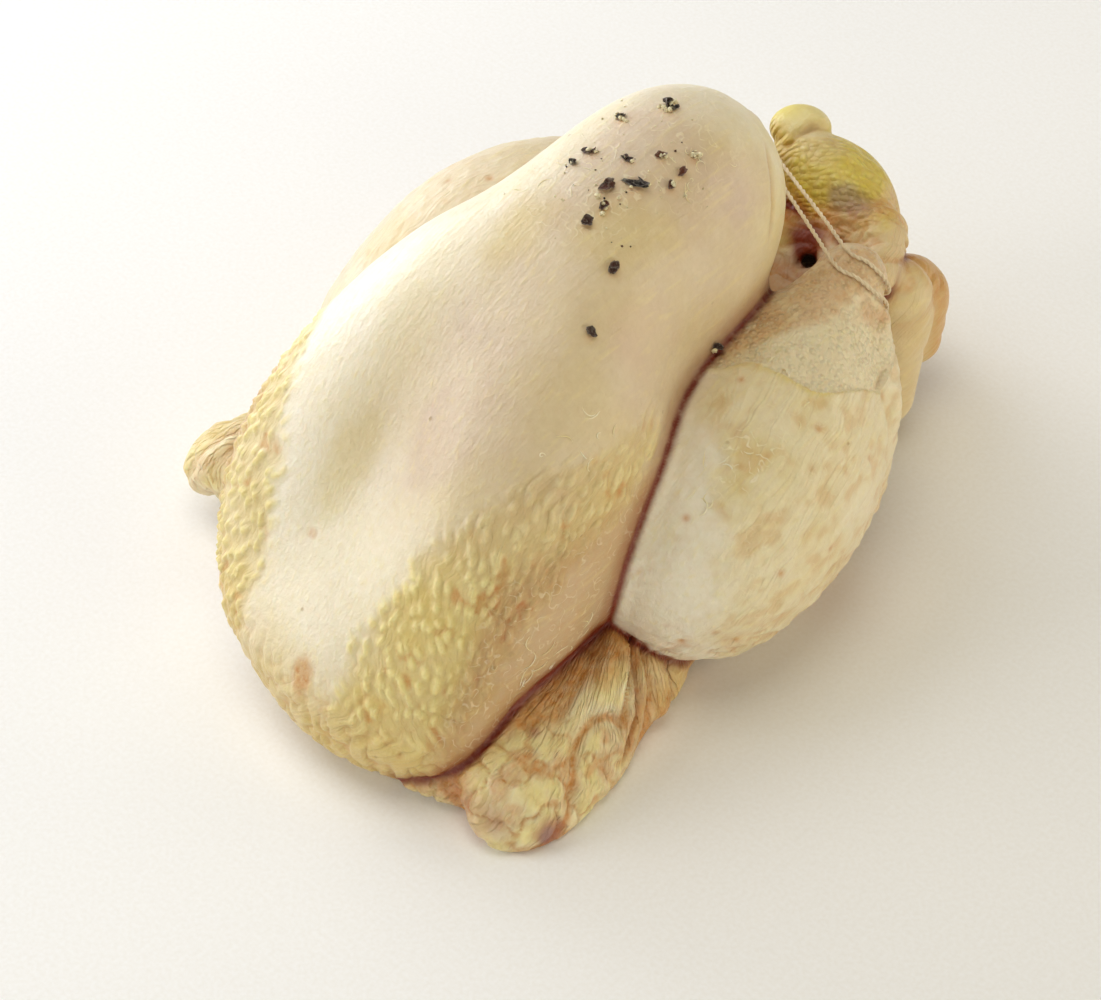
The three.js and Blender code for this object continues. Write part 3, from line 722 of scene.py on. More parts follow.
def legSkin(s):
    # legs: a thin yellow outer skin with a torn ragged edge, rough bare skin above it and smooth skin beside
    x, y, z = s["mirrored"].T
    onRight = s["onLeg"] * s["right"]
    onLeft = s["onLeg"] - onRight
    ragged = 1.5 * layeredNoise(s["points"], 7, 41) + 0.9 * layeredNoise(s["points"], 2.2, 42, 2)
    above = y - np.interp(x, skin["cuticleX"], skin["cuticleY"]) + ragged
    beside = x - np.interp(y, skin["patchY"], skin["patchX"]) + 2.5 * ragged + 3 * s["fine"]
    overSlit = z - np.interp(y, skin["slitY"], skin["slitZ"])
    bare = onRight * ramp(above, -0.4, 0.4) * ramp(overSlit, -0.4, 0.4)
    outer = onRight * (1 - bare) * ramp(beside, -5, 8)
    edge = np.exp(-((above + 1.2) / 1.1) ** 2) * ramp(overSlit, -1, 1)
    lip = onRight * (1 - bare) * np.maximum(edge, 0.12 * np.exp(-((beside - 1) / 0.9) ** 2))
    # pits: where feathers stood, in some of the cells
    nearest, number = cellNoise(s["points"], skin["pitPitch"], 44, 1)
    pits = np.exp(-(nearest * skin["pitPitch"] / skin["pitRadius"]) ** 2) * (number > 0.4)
    pits = pits * s["onLeg"] * (1 - bare)
    goose = bare * (0.65 + 0.35 * ramp(layeredNoise(s["points"], 9, 45), -0.5, 0.3))
    underKnee = s["onLeg"] * ramp(z + 5 * s["fine"], 42, 16)
    crumple = billow(s["points"] / (9, 6, 2.2), 47)
    uneven = layeredNoise(s["points"], (5, 5, 3.4), 46, 2)
    relief = skin["cuticleLip"] * (lip + outer - bare) - skin["pitDepth"] * pits
    relief = relief + underKnee * 1.1 * (crumple - 0.5)
    relief = relief + goose * 0.55 * layeredNoise(s["points"], 2.8, 48, 2) + 0.75 * outer * uneven
    relief = relief + 0.3 * s["onLeg"] * (1 - bare) * layeredNoise(s["points"], (2.4, 3.6, 1.8), 49, 2)
    curls = ramp(ovalDistance(s["points"], skin["curlsAt"], skin["curlsRadii"]), 1.2, 0.5)
    rim = bare * ramp(x - 0.45 * (y - 40), 43, 37.5) * ramp(s["fine"], -0.8, 0.1)
    yellow = 0.42 + 0.2 * s["blotch"] + 0.15 * ramp(uneven, 0.4, -0.6) + 0.2 * curls
    # brown: the bare skin's rim and the pits are the skin's own, the brown in the crumples under the knee is
    # painted shade
    rawBrownAndShade = 0.6 * rim + 0.6 * underKnee * ramp(crumple, 0.6, 0.1) + 0.85 * pits
    rawBrownAndShade = rawBrownAndShade + 0.32 * outer * ramp(uneven, 0, -0.5) + 0.45 * underKnee * ramp(s["fine"], -0.1, 0.4)
    return relief, {
        "fat": outer * yellow + 0.35 * lip + onLeft * (0.5 + 0.25 * s["blotch"]) + 0.06 * bare,
        "paleAndHighlight": 0.35 * bare,
        "pink": 0.04 * bare + 0.06 * (onRight - outer - bare).clip(0, 1) + 0.5 * onLeft,
        "rawBrownAndShade": rawBrownAndShade,
        "goose": goose,
        "fibre": outer * (0.3 + 0.7 * curls),
        "folds": 0.12 * bare + 0.3 * underKnee + 0.12 * onLeft + 0.2 * outer,
    }


def wingSkin(s):
    # wings: folds that fan out from the elbow, and crumpled skin towards the wrist
    elbow = np.array(skin["elbow"], float)
    facing = np.array(wing["facing"]) / np.linalg.norm(wing["facing"])
    run = np.array(wing["right"]["wrist"], float) - elbow
    run -= (run @ facing) * facing
    run /= np.linalg.norm(run)
    crosswise = np.cross(facing, run)
    away = s["mirrored"] - elbow + 1.5 * np.stack([softNoise(s["points"], 13, 51 + k) for k in range(3)], 1)
    length, across, depth = away @ run, away @ crosswise, away @ facing
    fan = np.arctan2(across, np.maximum(length, 0) + 14) * skin["fanRadius"]
    folds = billow(np.stack([fan / skin["foldPitch"], length / skin["foldLength"], depth / 12], 1), 54)
    crumple = billow(s["points"] / skin["crumplePitch"], 57)
    low = ramp(length, 18, 40)
    folded = skin["foldRelief"] * (folds - 0.5) * (1 - 0.35 * low)
    crumpled = skin["crumpleRelief"] * (crumple - 0.5) * (0.3 + 0.7 * low)
    grainLength, grainWidth = skin["wingGrain"]
    s["wingPlace"] = np.stack([fan / grainWidth, length / grainLength, depth / 6], 1)
    valleyShade = np.maximum(ramp(folds, 0.4, 0.05), 0.7 * low * ramp(crumple, 0.35, 0.05))
    brown = (1 - low) * ramp(s["blotch"] + 0.5 * s["fine"], -0.3, 0.35) + 0.8 * low * ramp(s["fine"], 0, 0.4)
    lean = 1 - 0.5 * low * ramp(s["fine"] + s["blotch"], 0, 0.5)
    return s["onWing"] * (folded + crumpled), {
        "fat": s["onWing"] * (0.5 + 0.4 * s["blotch"]) * lean,
        # brown in the folds' valleys is painted shade and the brown blotches are the skin's own; the pale on
        # the fold ridges is a painted highlight
        "rawBrownAndShade": s["onWing"] * (valleyShade + 0.75 * brown) * (0.35 + 0.65 * s["right"]),
        "deep": s["onWing"] * (0.12 + 0.3 * ramp(s["blotch"], 0, 0.5)),
        "paleAndHighlight": s["onWing"] * 0.8 * ramp(folds, 0.4, 0.8) * ramp(s["fine"], 0.3, -0.3),
        "folds": 0.5 * s["onWing"],
    }


def bodySkin(s):
    # breast and back: smooth, with thin brownish skin beside the wing and crumpled skin at the neck
    x, y, z = s["points"].T
    side = s["onBody"] * ramp(s["mirrored"][:, 0], 45, 52) * ramp(z, 80, 66) * ramp(y, 2, -14)
    neck = s["onBody"] * ramp(y + 3 * s["fine"], -78, -98) * ramp(z, 44, 14)
    crumple = billow(s["points"] / (2.8, 4, 5), 71)
    ventSide = s["onBody"] * ramp(y, 86, 98) * ramp(z, 84, 74)
    gathers = billow(s["points"] / (7, 5, 2.8), 73)
    relief = neck * 1.1 * (crumple - 0.5) + ventSide * 1.1 * (gathers - 0.5)
    top = s["onBody"] * ramp(z, 62, 98) * ramp(y, 78, 48)
    # more yellow towards the right side of the breast: partly fat, partly painted shade on the side turned
    # away from the light, with the lit left side kept whiter
    yellow = 0.04 + 0.18 * ramp(x, -30, -5) + 0.26 * ramp(s["blotch"], -0.3, 0.5) * ramp(x, -50, -15)
    yellow = yellow + 0.34 * ramp(x, 5, 40) * ramp(z, 60, 90) + 0.03 * ramp(x, 12, -14)
    # brown in the neck's crumples and in the gathers beside the vent is painted shade; beside the wing it is
    # the skin's own
    rawBrownAndShade = neck * (0.2 + 0.4 * ramp(crumple, 0.4, 0.1)) + 0.5 * side
    rawBrownAndShade = rawBrownAndShade + 0.45 * ventSide * ramp(gathers, 0.6, 0.1)
    return relief, {
        "fat": 0.65 * neck + s["onBody"] * yellow + 0.4 * side,
        "pink": 0.2 * side + top * ramp(x, -22, 4) * (0.65 + 0.35 * ramp(s["blotch"], 0.4, -0.4)),
        "rawBrownAndShade": rawBrownAndShade,
        "bruise": 0.22 * side,
        "fibre": 0.55 * side + s["onBody"] * 0.6 * ramp(z, 118, 130),
        "folds": 0.2 * neck + 0.2 * ventSide,
    }


def rumpSkin(s):
    # lobes of loose skin beside the tail, with soft creases running out from the fold above them
    x, y, z = s["points"].T
    radial = np.arctan2(z - 52, 130 - x - 0.2 * y) * 30
    streaks = billow(np.stack([radial / 3.5, x / 16, y / 24], 1), 61)
    top = ramp(z + 3 * s["fine"], 36, 54)
    behind = ramp(y, 120, 132)
    return s["onRump"] * (0.8 + 0.7 * top) * (streaks - 0.5), {
        "fat": s["onRump"] * (0.75 + 0.25 * s["blotch"] + 0.35 * behind),
        # brown skin, darker in the creases between the streaks with painted shade
        "rawBrownAndShade": s["onRump"] * (0.18 + 0.35 * top * ramp(streaks, 0.4, 0.05) + 0.6 * behind),
        "folds": 0.2 * s["onRump"],
        "pink": 0.12 * s["onRump"],
    }


def placeSkin(s):
    # single patches, the lines drawn over the skin with painted shade along them, and the oily stain with a
    # painted shadow beside each flake of pepper
    masks, relief = {}, 0
    for region in patches.values():
        for name, amount, middle, radii in region:
            away = ovalDistance(s["points"], middle, radii) + 0.3 * s["fine"] + 0.2 * s["blotch"]
            masks[name] = masks.get(name, 0) + amount * ramp(away, 1.3, 0.45)
    for line in creaseLines.values():
        height, stainAndShade = grooveAlong(s["points"], **line)
        relief = relief + height
        masks["rawBrownAndShade"] = masks["rawBrownAndShade"] + stainAndShade
        masks["creaseShade"] = masks["creaseShade"] + 0.6 * stainAndShade
    for at, length, *_ in pepper["flakes"]:
        beside = s["points"] - np.array(at) - np.array(pepper["stainAndShadeAside"])
        away = np.linalg.norm(beside, axis=1) / (pepper["stainAndShadeReach"] * length)
        masks["rawBrownAndShade"] = masks["rawBrownAndShade"] + pepper["stainAndShade"] * np.exp(-away ** 2)
    return relief, masks


def dressSkin(points, quads):
    s = surveySkin(points, quads)
    groove = ramp(s["open"], 0.96, 0.7)
    fromSeam = lambda width: np.exp(-(s["seam"] / width) ** 2)
    height = sum(amount * layeredNoise(points, size, 11) for size, amount in skin["waves"])
    height = height - skin["grooveDepth"] * fromSeam(skin["grooveWidth"]) * groove
    masks = {name: np.zeros(len(points)) for name in maskNames}
    for dress in (bodySkin, tractSkin, legSkin, wingSkin, tailSkin, rumpSkin, placeSkin):
        relief, shares = dress(s)
        height = height + relief
        for name, share in shares.items():
            masks[name] = masks[name] + share
    gentle = 0.35 + 0.65 * ramp(s["open"], 0.1, 0.45)
    moved = points + s["normals"] * (height * ramp(points[:, 2], 0.4, 3.5) * gentle)[:, None]
    moved[:, 2] = np.maximum(moved[:, 2], 0)
    # painted shade: the dark line in a seam is narrower on a leg
    wide, onLeg = skin["lineWidth"]
    line = skin["line"] * fromSeam(wide - (wide - onLeg) * s["onLeg"])
    beside = skin["beside"] * s["onBody"] * fromSeam(skin["besideWidth"])
    # painted shade: dark red-brown deep in folds and along the seams between parts
    hollow = 0.9 * ramp(s["open"], 0.18, 0.03) * (1 - 0.8 * s["onLeg"])
    deepest = np.maximum(hollow, np.maximum(line, beside) * groove)
    masks["creaseShade"] = soften(masks["creaseShade"] + deepest, quads, 1)
    # painted shade: a warm brown round folds and seams, on the body and not on the legs
    warmShade = 0.4 * ramp(s["open"], 0.4, 0.1) + skin["warmShade"] * fromSeam(skin["warmShadeWidth"]) * groove
    masks["warmShade"] = warmShade * (1 - s["onLeg"])
    masks["onWing"] = s["onWing"]
    places = {name: s[name] for name in ("tractPlace", "tailPlace", "wingPlace")}
    return moved, {name: np.clip(values, 0, 1) for name, values in masks.items()}, places


def chickenSkin():
    # Raw poultry skin: moist and waxy, pale cream with light sinking in, and yellow where fat lies under it.
    look = {
        "cream": "#f4ebd6", "fatYellow": "#dfcb84", "deepYellow": "#e2d052", "paleYellow": "#f0e09c",
        # painted shade colours: the warm flush and dark red-brown of creases, the near black of the hole and
        # the brown of wrinkle valleys
        "blush": "#d6bfa6", "rawBrown": "#c98637", "warmShade": "#c4803f", "paintedCreaseShade": "#7c2a0d",
        "bruiseGrey": "#86697a", "blood": "#a2483c", "holeShade": "#160b0c", "pore": "#a07c3c",
        "fibre": "#faefce", "valleyShade": "#b58443", "roughness": 0.4,
        # sizes in mm
        "cloud": 18, "grain": 2.2, "fineGrain": 0.8, "drawn": (1.6, 22, 2.6), "goosePitch": 1.9,
        "porePitch": 9, "poreSize": 0.75, "fibrePitch": 4.2, "fibreBreak": 3.1,
        # a share of the noise that the fibres follow, and how far the grain lightens and darkens each colour
        "fibreWidth": 0.032, "mottle": ((0.95, 1.03), (0.93, 1.04), (0.88, 1.06)),
    }
    m = newMaterial("moistPoultrySkin")
    place = addNode(m, "ShaderNodeTexCoord").outputs["Object"]
    times = lambda a, b, clamp=False: maths(m, "MULTIPLY", a, b, clamp)
    rest = lambda a: maths(m, "SUBTRACT", 1.0, a)
    fromMiddle = lambda a: maths(m, "ABSOLUTE", maths(m, "SUBTRACT", a, 0.5))
    paint = lambda under, share, name: tint(m, share, under, linear(look[name]))
    # drawn: faint lines along the bird where its skin is pulled tight
    stretched = addNode(m, "ShaderNodeMapping", i0=place, i3=tuple(map(perMetre, look["drawn"]))).outputs[0]
    drawn = noiseAt(m, stretched, 1.0, 2, 0.6)
    cloudy = noiseAt(m, place, perMetre(look["cloud"]), 4, 0.6)
    grain = noiseAt(m, place, perMetre(look["grain"]), 5, 0.65)
    fineGrain = noiseAt(m, place, perMetre(look["fineGrain"]), 3, 0.7)
    folds, rows, goose, fibre = [mask(m, name) for name in ("folds", "rows", "goose", "fibre")]

    # wrinkles: sharp valleys where a stretched noise crosses its middle, in each region's own directions
    ridge = lambda name: spread(m, fromMiddle(noiseAt(m, vector(m, name), 1.0, 2)), 0.0, 0.12)
    wrinkle = tint(m, mask(m, "onWing"), ridge("tractPlace"), ridge("wingPlace"))
    follicle = spread(m, cellsAt(m, vector(m, "tailPlace"), 1.0, 0.75)["Distance"], 0.1, 0.7, 1.0, 0.0)
    bumps = spread(m, cellsAt(m, place, perMetre(look["goosePitch"]), 0.9)["Distance"], 0.1, 0.6, 1.0, 0.0)
    # fibres: thin pale threads along the contours of a noise, broken up by another one
    contour = fromMiddle(noiseAt(m, place, perMetre(look["fibrePitch"]), 1))
    threads = spread(m, contour, look["fibreWidth"] * 0.35, look["fibreWidth"], 1.0, 0.0)
    broken = spread(m, noiseAt(m, place, perMetre(look["fibreBreak"]), 2), 0.42, 0.58)
    threads = times(times(threads, broken), fibre)

    fat = times(mask(m, "fat"), spread(m, cloudy, 0.25, 0.75, 0.75, 1.2), True)
    colour = paint(linear(look["cream"]), fat, "fatYellow")
    colour = paint(colour, mask(m, "deep"), "deepYellow")
    # pale yellow skin, and a painted highlight on the tract's lumps and the wing's fold ridges
    colour = paint(colour, mask(m, "paleAndHighlight"), "paleYellow")
    colour = paint(colour, times(mask(m, "pink"), spread(m, cloudy, 0.3, 0.7, 0.6, 1.0)), "blush")
    # painted shade: warm brown round folds and seams
    colour = paint(colour, times(mask(m, "warmShade"), 0.75), "warmShade")
    # raw brown skin, and painted shade where this brown follows valleys, folds and grooves
    colour = paint(colour, times(mask(m, "rawBrownAndShade"), spread(m, grain, 0.3, 0.65, 0.5, 1.0), True), "rawBrown")
    colour = paint(colour, mask(m, "blood"), "blood")
    # painted shade: the valley colour in wrinkle valleys, between follicles and between goose bumps
    valleys = times(times(rest(wrinkle), folds), 0.4)
    hollows = times(times(rest(follicle), rows), 0.3)
    rough = times(times(rest(bumps), goose), 0.13)
    colour = paint(colour, maths(m, "ADD", maths(m, "ADD", valleys, hollows), rough, True), "valleyShade")
    colour = paint(colour, times(mask(m, "bruise"), 0.8), "bruiseGrey")
    # pores: small brown pits, one in three of the places in a loose grid
    pores = cellsAt(m, place, perMetre(look["porePitch"]), 1.0)
    radius = look["poreSize"] / look["porePitch"]
    pit = spread(m, pores["Distance"], radius * 0.4, radius, 1.0, 0.0)
    chosen = addNode(m, "ShaderNodeSeparateColor", i0=pores["Color"]).outputs[0]
    pit = times(pit, spread(m, chosen, 0.66, 0.7))
    colour = paint(colour, times(pit, 0.45), "pore")
    colour = paint(colour, times(threads, 0.7), "fibre")
    colour = paint(colour, spread(m, drawn, 0.55, 0.75, 0.0, 0.3), "paleYellow")
    red, green, blue = [spread(m, grain, 0.25, 0.75, *ends) for ends in look["mottle"]]
    mottle = addNode(m, "ShaderNodeCombineColor", i0=red, i1=green, i2=blue).outputs[0]
    colour = tint(m, 1.0, colour, mottle, "MULTIPLY")
    # painted shade: dark red-brown in folds, creases and seams
    colour = paint(colour, mask(m, "creaseShade"), "paintedCreaseShade")
    # painted shade: near black inside the vent's hole
    colour = paint(colour, mask(m, "holeShade"), "holeShade")

    # all fine relief in one height, in millimetres
    heights = (
        (times(wrinkle, folds), 0.9), (times(follicle, rows), 0.8), (times(bumps, goose), 0.75),
        (threads, 0.12), (pit, -0.3), (grain, 0.32), (fineGrain, 0.12), (drawn, 0.34),
    )
    relief, settings = 0.0, {"operation": "MULTIPLY_ADD"}
    for height, depth in heights:
        relief = addNode(m, "ShaderNodeMath", settings, i0=height, i1=depth, i2=relief).outputs[0]
    surface = addNode(m, "ShaderNodeBump", Strength=1.0, Distance=0.001, Height=relief).outputs[0]
    wet = spread(m, cloudy, 0.3, 0.7, look["roughness"] + 0.06, look["roughness"] - 0.06)
    shader = addNode(m, "ShaderNodeBsdfPrincipled", Base_Color=colour, Roughness=wet, IOR=1.42,
                     Normal=surface, Subsurface_Weight=0.22, Subsurface_Radius=(1.0, 0.55, 0.3),
                     Subsurface_Scale=0.002, Coat_Weight=0.25, Coat_Roughness=0.28)
    return finishMaterial(m, shader)


skinPoints, skinQuads = skinOver(birdForm, skin["low"], skin["high"], skin["step"])
print("skin formed:", len(skinPoints), "points")
skinPoints = relax(skinPoints, skinQuads, 0.5, 1)
skinPoints, skinQuads = split(skinPoints, skinQuads)
skinPoints = relax(skinPoints, skinQuads, 0.5, 1)
toSkin = birdForm(skinPoints.astype(np.float32))[:, None]
skinPoints = skinPoints - np.clip(toSkin, -0.6, 0.6) * slopeOf(birdForm, skinPoints)
skinPoints = relax(skinPoints, skinQuads, 0.3, 1)
skinPoints[:, 2] = np.maximum(skinPoints[:, 2], 0)
dressed, skinMasks, skinPlaces = dressSkin(skinPoints, skinQuads)
chicken = makeObject("chicken", dressed, skinQuads)
for name, values in skinMasks.items():
    addMask(chicken, name, values)
for name, values in skinPlaces.items():
    addPlace(chicken, name, values)
chicken.data.materials.append(chickenSkin())
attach(chicken, "root")
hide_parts("bird")
print("skin dressed")


# twine: a two-ply cotton string over both hocks

twine = {
    "radius": 0.65, "clearance": 1.2, "gap": 6.5, "leftGap": 2.2, "leftSlide": 5,
    "turnsOver": (-50, -25, 0, 30, 60, 90), "crossing": (0.2, 0.4, 0.6, 0.8),
    "plyRadius": 0.37, "plyOffset": 0.28, "twist": 4.2, "step": 0.35, "sides": 8,
    "knotRadius": 2.4, "endStep": (-1.2, 2.2, -1.6), "endStops": 5,
}


def standAt(points, height):
    # move points along the skin's slope until they stand at a height over it
    for _ in range(12):
        gap = birdForm(points.astype(np.float32))[:, None]
        points = points + 0.8 * (height - gap) * slopeOf(birdForm, points)
    return points


def roundHock(side, hock, slide, degrees):
    # stops of the twine round a hock, some way along the leg from its middle
    knee = np.array((side * leg["kneeOut"], *leg["knee"]), float)
    shank = np.array(hock, float) - knee
    shank /= np.linalg.norm(shank)
    out = np.array([side, 0, 0]) - side * shank[0] * shank
    out /= np.linalg.norm(out)
    up = np.cross(out, shank) * side
    centre = np.array(hock) + shank * slide
    reach = math.sqrt(leg["hockRadius"] ** 2 - max(slide, 0) ** 2) + twine["clearance"]
    turns = [math.radians(turnedBy) for turnedBy in degrees]
    return [centre + reach * (out * math.cos(angle) + up * math.sin(angle)) for angle in turns]


def twineRoute():
    over, half, leftHalf = list(twine["turnsOver"]), twine["gap"] / 2, twine["leftGap"] / 2
    under = over[::-1]
    across = lambda a, b: [a + (b - a) * share for share in twine["crossing"]]
    onLeft = lambda slide, degrees: roundHock(-1, leg["leftHock"], twine["leftSlide"] + slide, degrees)
    leftFront, rightFront = onLeft(-leftHalf, over), roundHock(1, leg["rightHock"], -half, under)
    rightRear, leftRear = roundHock(1, leg["rightHock"], half, over), onLeft(leftHalf, under)
    stops = np.array(leftFront + across(leftFront[-1], rightFront[0]) + rightFront
                     + rightRear + across(rightRear[-1], leftRear[0]) + leftRear)
    height = twine["radius"] + 0.1
    low = birdForm(stops.astype(np.float32)) < height + twine["clearance"]
    stops[low] = standAt(stops[low], height)
    return stops


def smoothCurve(stops, step):
    # evenly spaced points on a smooth curve through the stops, and how far along it each one is
    stops = np.asarray(stops, float)
    ends = np.vstack([2 * stops[0] - stops[1], stops, 2 * stops[-1] - stops[-2]])
    line = []
    for i in range(1, len(ends) - 2):
        p = ends[i - 1:i + 3]
        t = np.linspace(0, 1, 24, endpoint=False)[:, None]
        line.append(0.5 * (2 * p[1] + (p[2] - p[0]) * t + (2 * p[0] - 5 * p[1] + 4 * p[2] - p[3]) * t ** 2
                           + (3 * p[1] - p[0] - 3 * p[2] + p[3]) * t ** 3))
    line = np.vstack(line + [ends[-2:-1]])
    run = np.concatenate([[0], np.cumsum(np.linalg.norm(np.diff(line, axis=0), axis=1))])
    even = np.linspace(0, run[-1], max(8, int(run[-1] / step)))
    return np.stack([np.interp(even, run, line[:, k]) for k in range(3)], 1), even


def framesAlong(line):
    # the heading at each point of a line and two ways across it, which turn no more than the line does
    heading = np.gradient(line, axis=0)
    heading /= np.linalg.norm(heading, axis=1)[:, None]
    side = np.zeros_like(line)
    last = np.cross(heading[0], [0, 0, 1])
    for i in range(len(line)):
        last = last - (last @ heading[i]) * heading[i]
        last /= np.linalg.norm(last)
        side[i] = last
    return heading, side, np.cross(heading, side)


def tube(line, radii, sides):
    heading, side, up = framesAlong(line)
    turns = np.arange(sides) / sides * 2 * math.pi
    ring = np.cos(turns)[None, :, None] * side[:, None] + np.sin(turns)[None, :, None] * up[:, None]
    points = (line[:, None] + ring * np.asarray(radii)[:, None, None]).reshape(-1, 3)
    faces = []
    for i in range(len(line) - 1):
        for k in range(sides):
            a, b = i * sides + k, i * sides + (k + 1) % sides
            faces.append([a, b, b + sides, a + sides])
    faces.append(list(range(sides))[::-1])
    faces.append(list(range(len(points) - sides, len(points))))
    return points, faces


def joined(chunks):
    # several meshes as one
    points, faces, count = [], [], 0
    for p, f in chunks:
        points.append(np.asarray(p))
        faces += [[i + count for i in face] for face in f]
        count += len(p)
    return np.vstack(points), faces


def twoPly(stops):
    # two strands twisted round each other
    line, run = smoothCurve(stops, twine["step"])
    heading, side, up = framesAlong(line)
    plies = []
    for start in (0, math.pi):
        angle = (run / twine["twist"] * 2 * math.pi + start)[:, None]
        path = line + twine["plyOffset"] * (np.cos(angle) * side + np.sin(angle) * up)
        thickness = twine["plyRadius"] * (1 + 0.12 * np.sin(run * 1.9 + start) * np.cos(run * 0.7))
        plies.append(tube(path, thickness, twine["sides"]))
    return joined(plies)


def knotStops(centre):
    # a flattened trefoil
    turns = np.linspace(0, 2 * math.pi, 25)[:-1]
    x, z = np.sin(turns) + 2 * np.sin(2 * turns), np.cos(turns) - 2 * np.cos(2 * turns)
    return centre + twine["knotRadius"] / 3 * np.stack([x, 1.2 * np.sin(3 * turns), z], 1)


def cottonTwine():
    # Kitchen twine: two soft plies of unbleached cotton, matt, with fine loose fibres and damp patches.
    look = {"cotton": "#eedfc0", "shade": "#c4a576", "roughness": 0.9, "fibre": 0.4, "damp": 9}
    m = newMaterial("unbleachedCottonTwine")
    place = addNode(m, "ShaderNodeTexCoord").outputs["Object"]
    fibre = noiseAt(m, place, perMetre(look["fibre"]), 4, 0.7)
    damp = noiseAt(m, place, perMetre(look["damp"]), 2)
    fuzzy, wet = spread(m, fibre, 0.35, 0.7, 0.0, 0.45), spread(m, damp, 0.45, 0.7, 0.0, 0.4)
    share = maths(m, "ADD", fuzzy, wet, True)
    colour = tint(m, share, linear(look["cotton"]), linear(look["shade"]))
    surface = addNode(m, "ShaderNodeBump", Strength=0.7, Distance=0.00015, Height=fibre)
    shader = addNode(m, "ShaderNodeBsdfPrincipled", Base_Color=colour, Roughness=look["roughness"],
                     Sheen_Weight=0.25, Sheen_Roughness=0.5, Normal=surface.outputs[0])
    return finishMaterial(m, shader)


route = twineRoute()
knotAt = standAt(((route[0] + route[-1]) / 2)[None], twine["knotRadius"])[0]
strands = [twoPly(np.vstack([knotAt, route, knotAt])), twoPly(knotStops(knotAt))]
for side in (-1, 1):
    way = np.array(twine["endStep"]) * (1, side, 1)
    ends = knotAt + np.arange(twine["endStops"])[:, None] * way
    away = birdForm(ends.astype(np.float32)) < twine["radius"]
    ends[away] = standAt(ends[away], twine["radius"])
    strands.append(twoPly(ends))
string = makeObject("twine", *joined(strands))
string.data.materials.append(cottonTwine())
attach(string, "root")
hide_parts("twine")
print("twine laid")


# cracked pepper: dark shards of husk and pale bits of kernel, pressed lightly into the skin

peppers = np.random.default_rng(pepper["seed"])


def shard(length, width, thickness, cup):
    # a ragged cupped plate of husk, thin at its rim
    rings, around = pepper["rings"], pepper["around"]
    angle = np.arange(around) / around * 2 * math.pi
    oval = 0.22 * np.sin(2 * angle + peppers.uniform(0, 6)) * peppers.uniform(0.3, 1)
    outline = 1 + oval + peppers.uniform(-0.22, 0.22, around)
    share = np.arange(1, rings + 1)[:, None] / rings
    x, y = share * outline * np.cos(angle) * length / 2, share * outline * np.sin(angle) * width / 2
    wrinkle = peppers.uniform(-0.16, 0.16, (rings, around)) * share
    z = cup * width * share ** 2 * (0.7 + 0.5 * np.cos(angle * 2 + peppers.uniform(0, 6))) + wrinkle
    top = np.stack([x, y, z], -1).reshape(-1, 3)
    under = top - np.array([0, 0, 1]) * (thickness * (1 - 0.75 * share ** 2) * np.ones_like(x)).reshape(-1, 1)
    points = np.vstack([[[0, 0, 0]], top, [[0, 0, -thickness]], under])
    ring = lambda side, k: [1 + side * (1 + rings * around) + k * around + i for i in range(around)]
    band = lambda a, b: [[a[i], b[i], b[(i + 1) % around], a[(i + 1) % around]] for i in range(around)]
    faces = []
    for side, order in ((0, 1), (1, -1)):
        centre, inner = side * (1 + rings * around), ring(side, 0)
        faces += [[centre, inner[i], inner[(i + 1) % around]][::order] for i in range(around)]
        for k in range(rings - 1):
            faces += [face[::order] for face in band(ring(side, k), ring(side, k + 1))]
    faces += band(ring(0, rings - 1), ring(1, rings - 1))
    # how near each point lies to the rim, where the husk gets a painted highlight
    rim = np.concatenate([[0], (share ** 4 * np.ones_like(x)).ravel()])
    return points, faces, np.concatenate([rim, rim])


def crumb(size, uneven=0.35):
    # a lumpy grain
    rows, around = 5, 8
    tilt = (np.arange(rows) + 1) / (rows + 1) * math.pi
    angle = np.arange(around) / around * 2 * math.pi
    x, y = np.outer(np.sin(tilt), np.cos(angle)), np.outer(np.sin(tilt), np.sin(angle))
    ball = np.stack([x, y, np.outer(np.cos(tilt), np.ones(around))], -1)
    points = np.vstack([ball.reshape(-1, 3), [[0, 0, 1]], [[0, 0, -1]]])
    points = points * (1 + peppers.uniform(-uneven, uneven, len(points)))[:, None]
    points = points * peppers.uniform(0.7, 1.2, 3) * size
    top, foot = rows * around, rows * around + 1
    faces = []
    for k in range(rows - 1):
        for i in range(around):
            a, b = k * around + i, k * around + (i + 1) % around
            faces.append([a, a + around, b + around, b])
    faces += [[top, i, (i + 1) % around] for i in range(around)]
    faces += [[foot, top - around + (i + 1) % around, top - around + i] for i in range(around)]
    return points, faces


def laidOn(piece, foot, up):
    # lean a piece over both ways, turn it and set it down on the skin
    a, b, c = [math.radians(degrees) for degrees in (piece["turn"], *piece["lean"])]
    overX = np.array([[1, 0, 0], [0, math.cos(b), math.sin(b)], [0, -math.sin(b), math.cos(b)]])
    overY = np.array([[math.cos(c), 0, -math.sin(c)], [0, 1, 0], [math.sin(c), 0, math.cos(c)]])
    points = piece["points"] @ overX @ overY
    east = np.cross([0, 1, 0], up)
    east /= np.linalg.norm(east)
    north = np.cross(up, east)
    first, second = math.cos(a) * east + math.sin(a) * north, -math.sin(a) * east + math.cos(a) * north
    return foot + points[:, :1] * first + points[:, 1:2] * second + (points[:, 2:] + piece["lift"]) * up


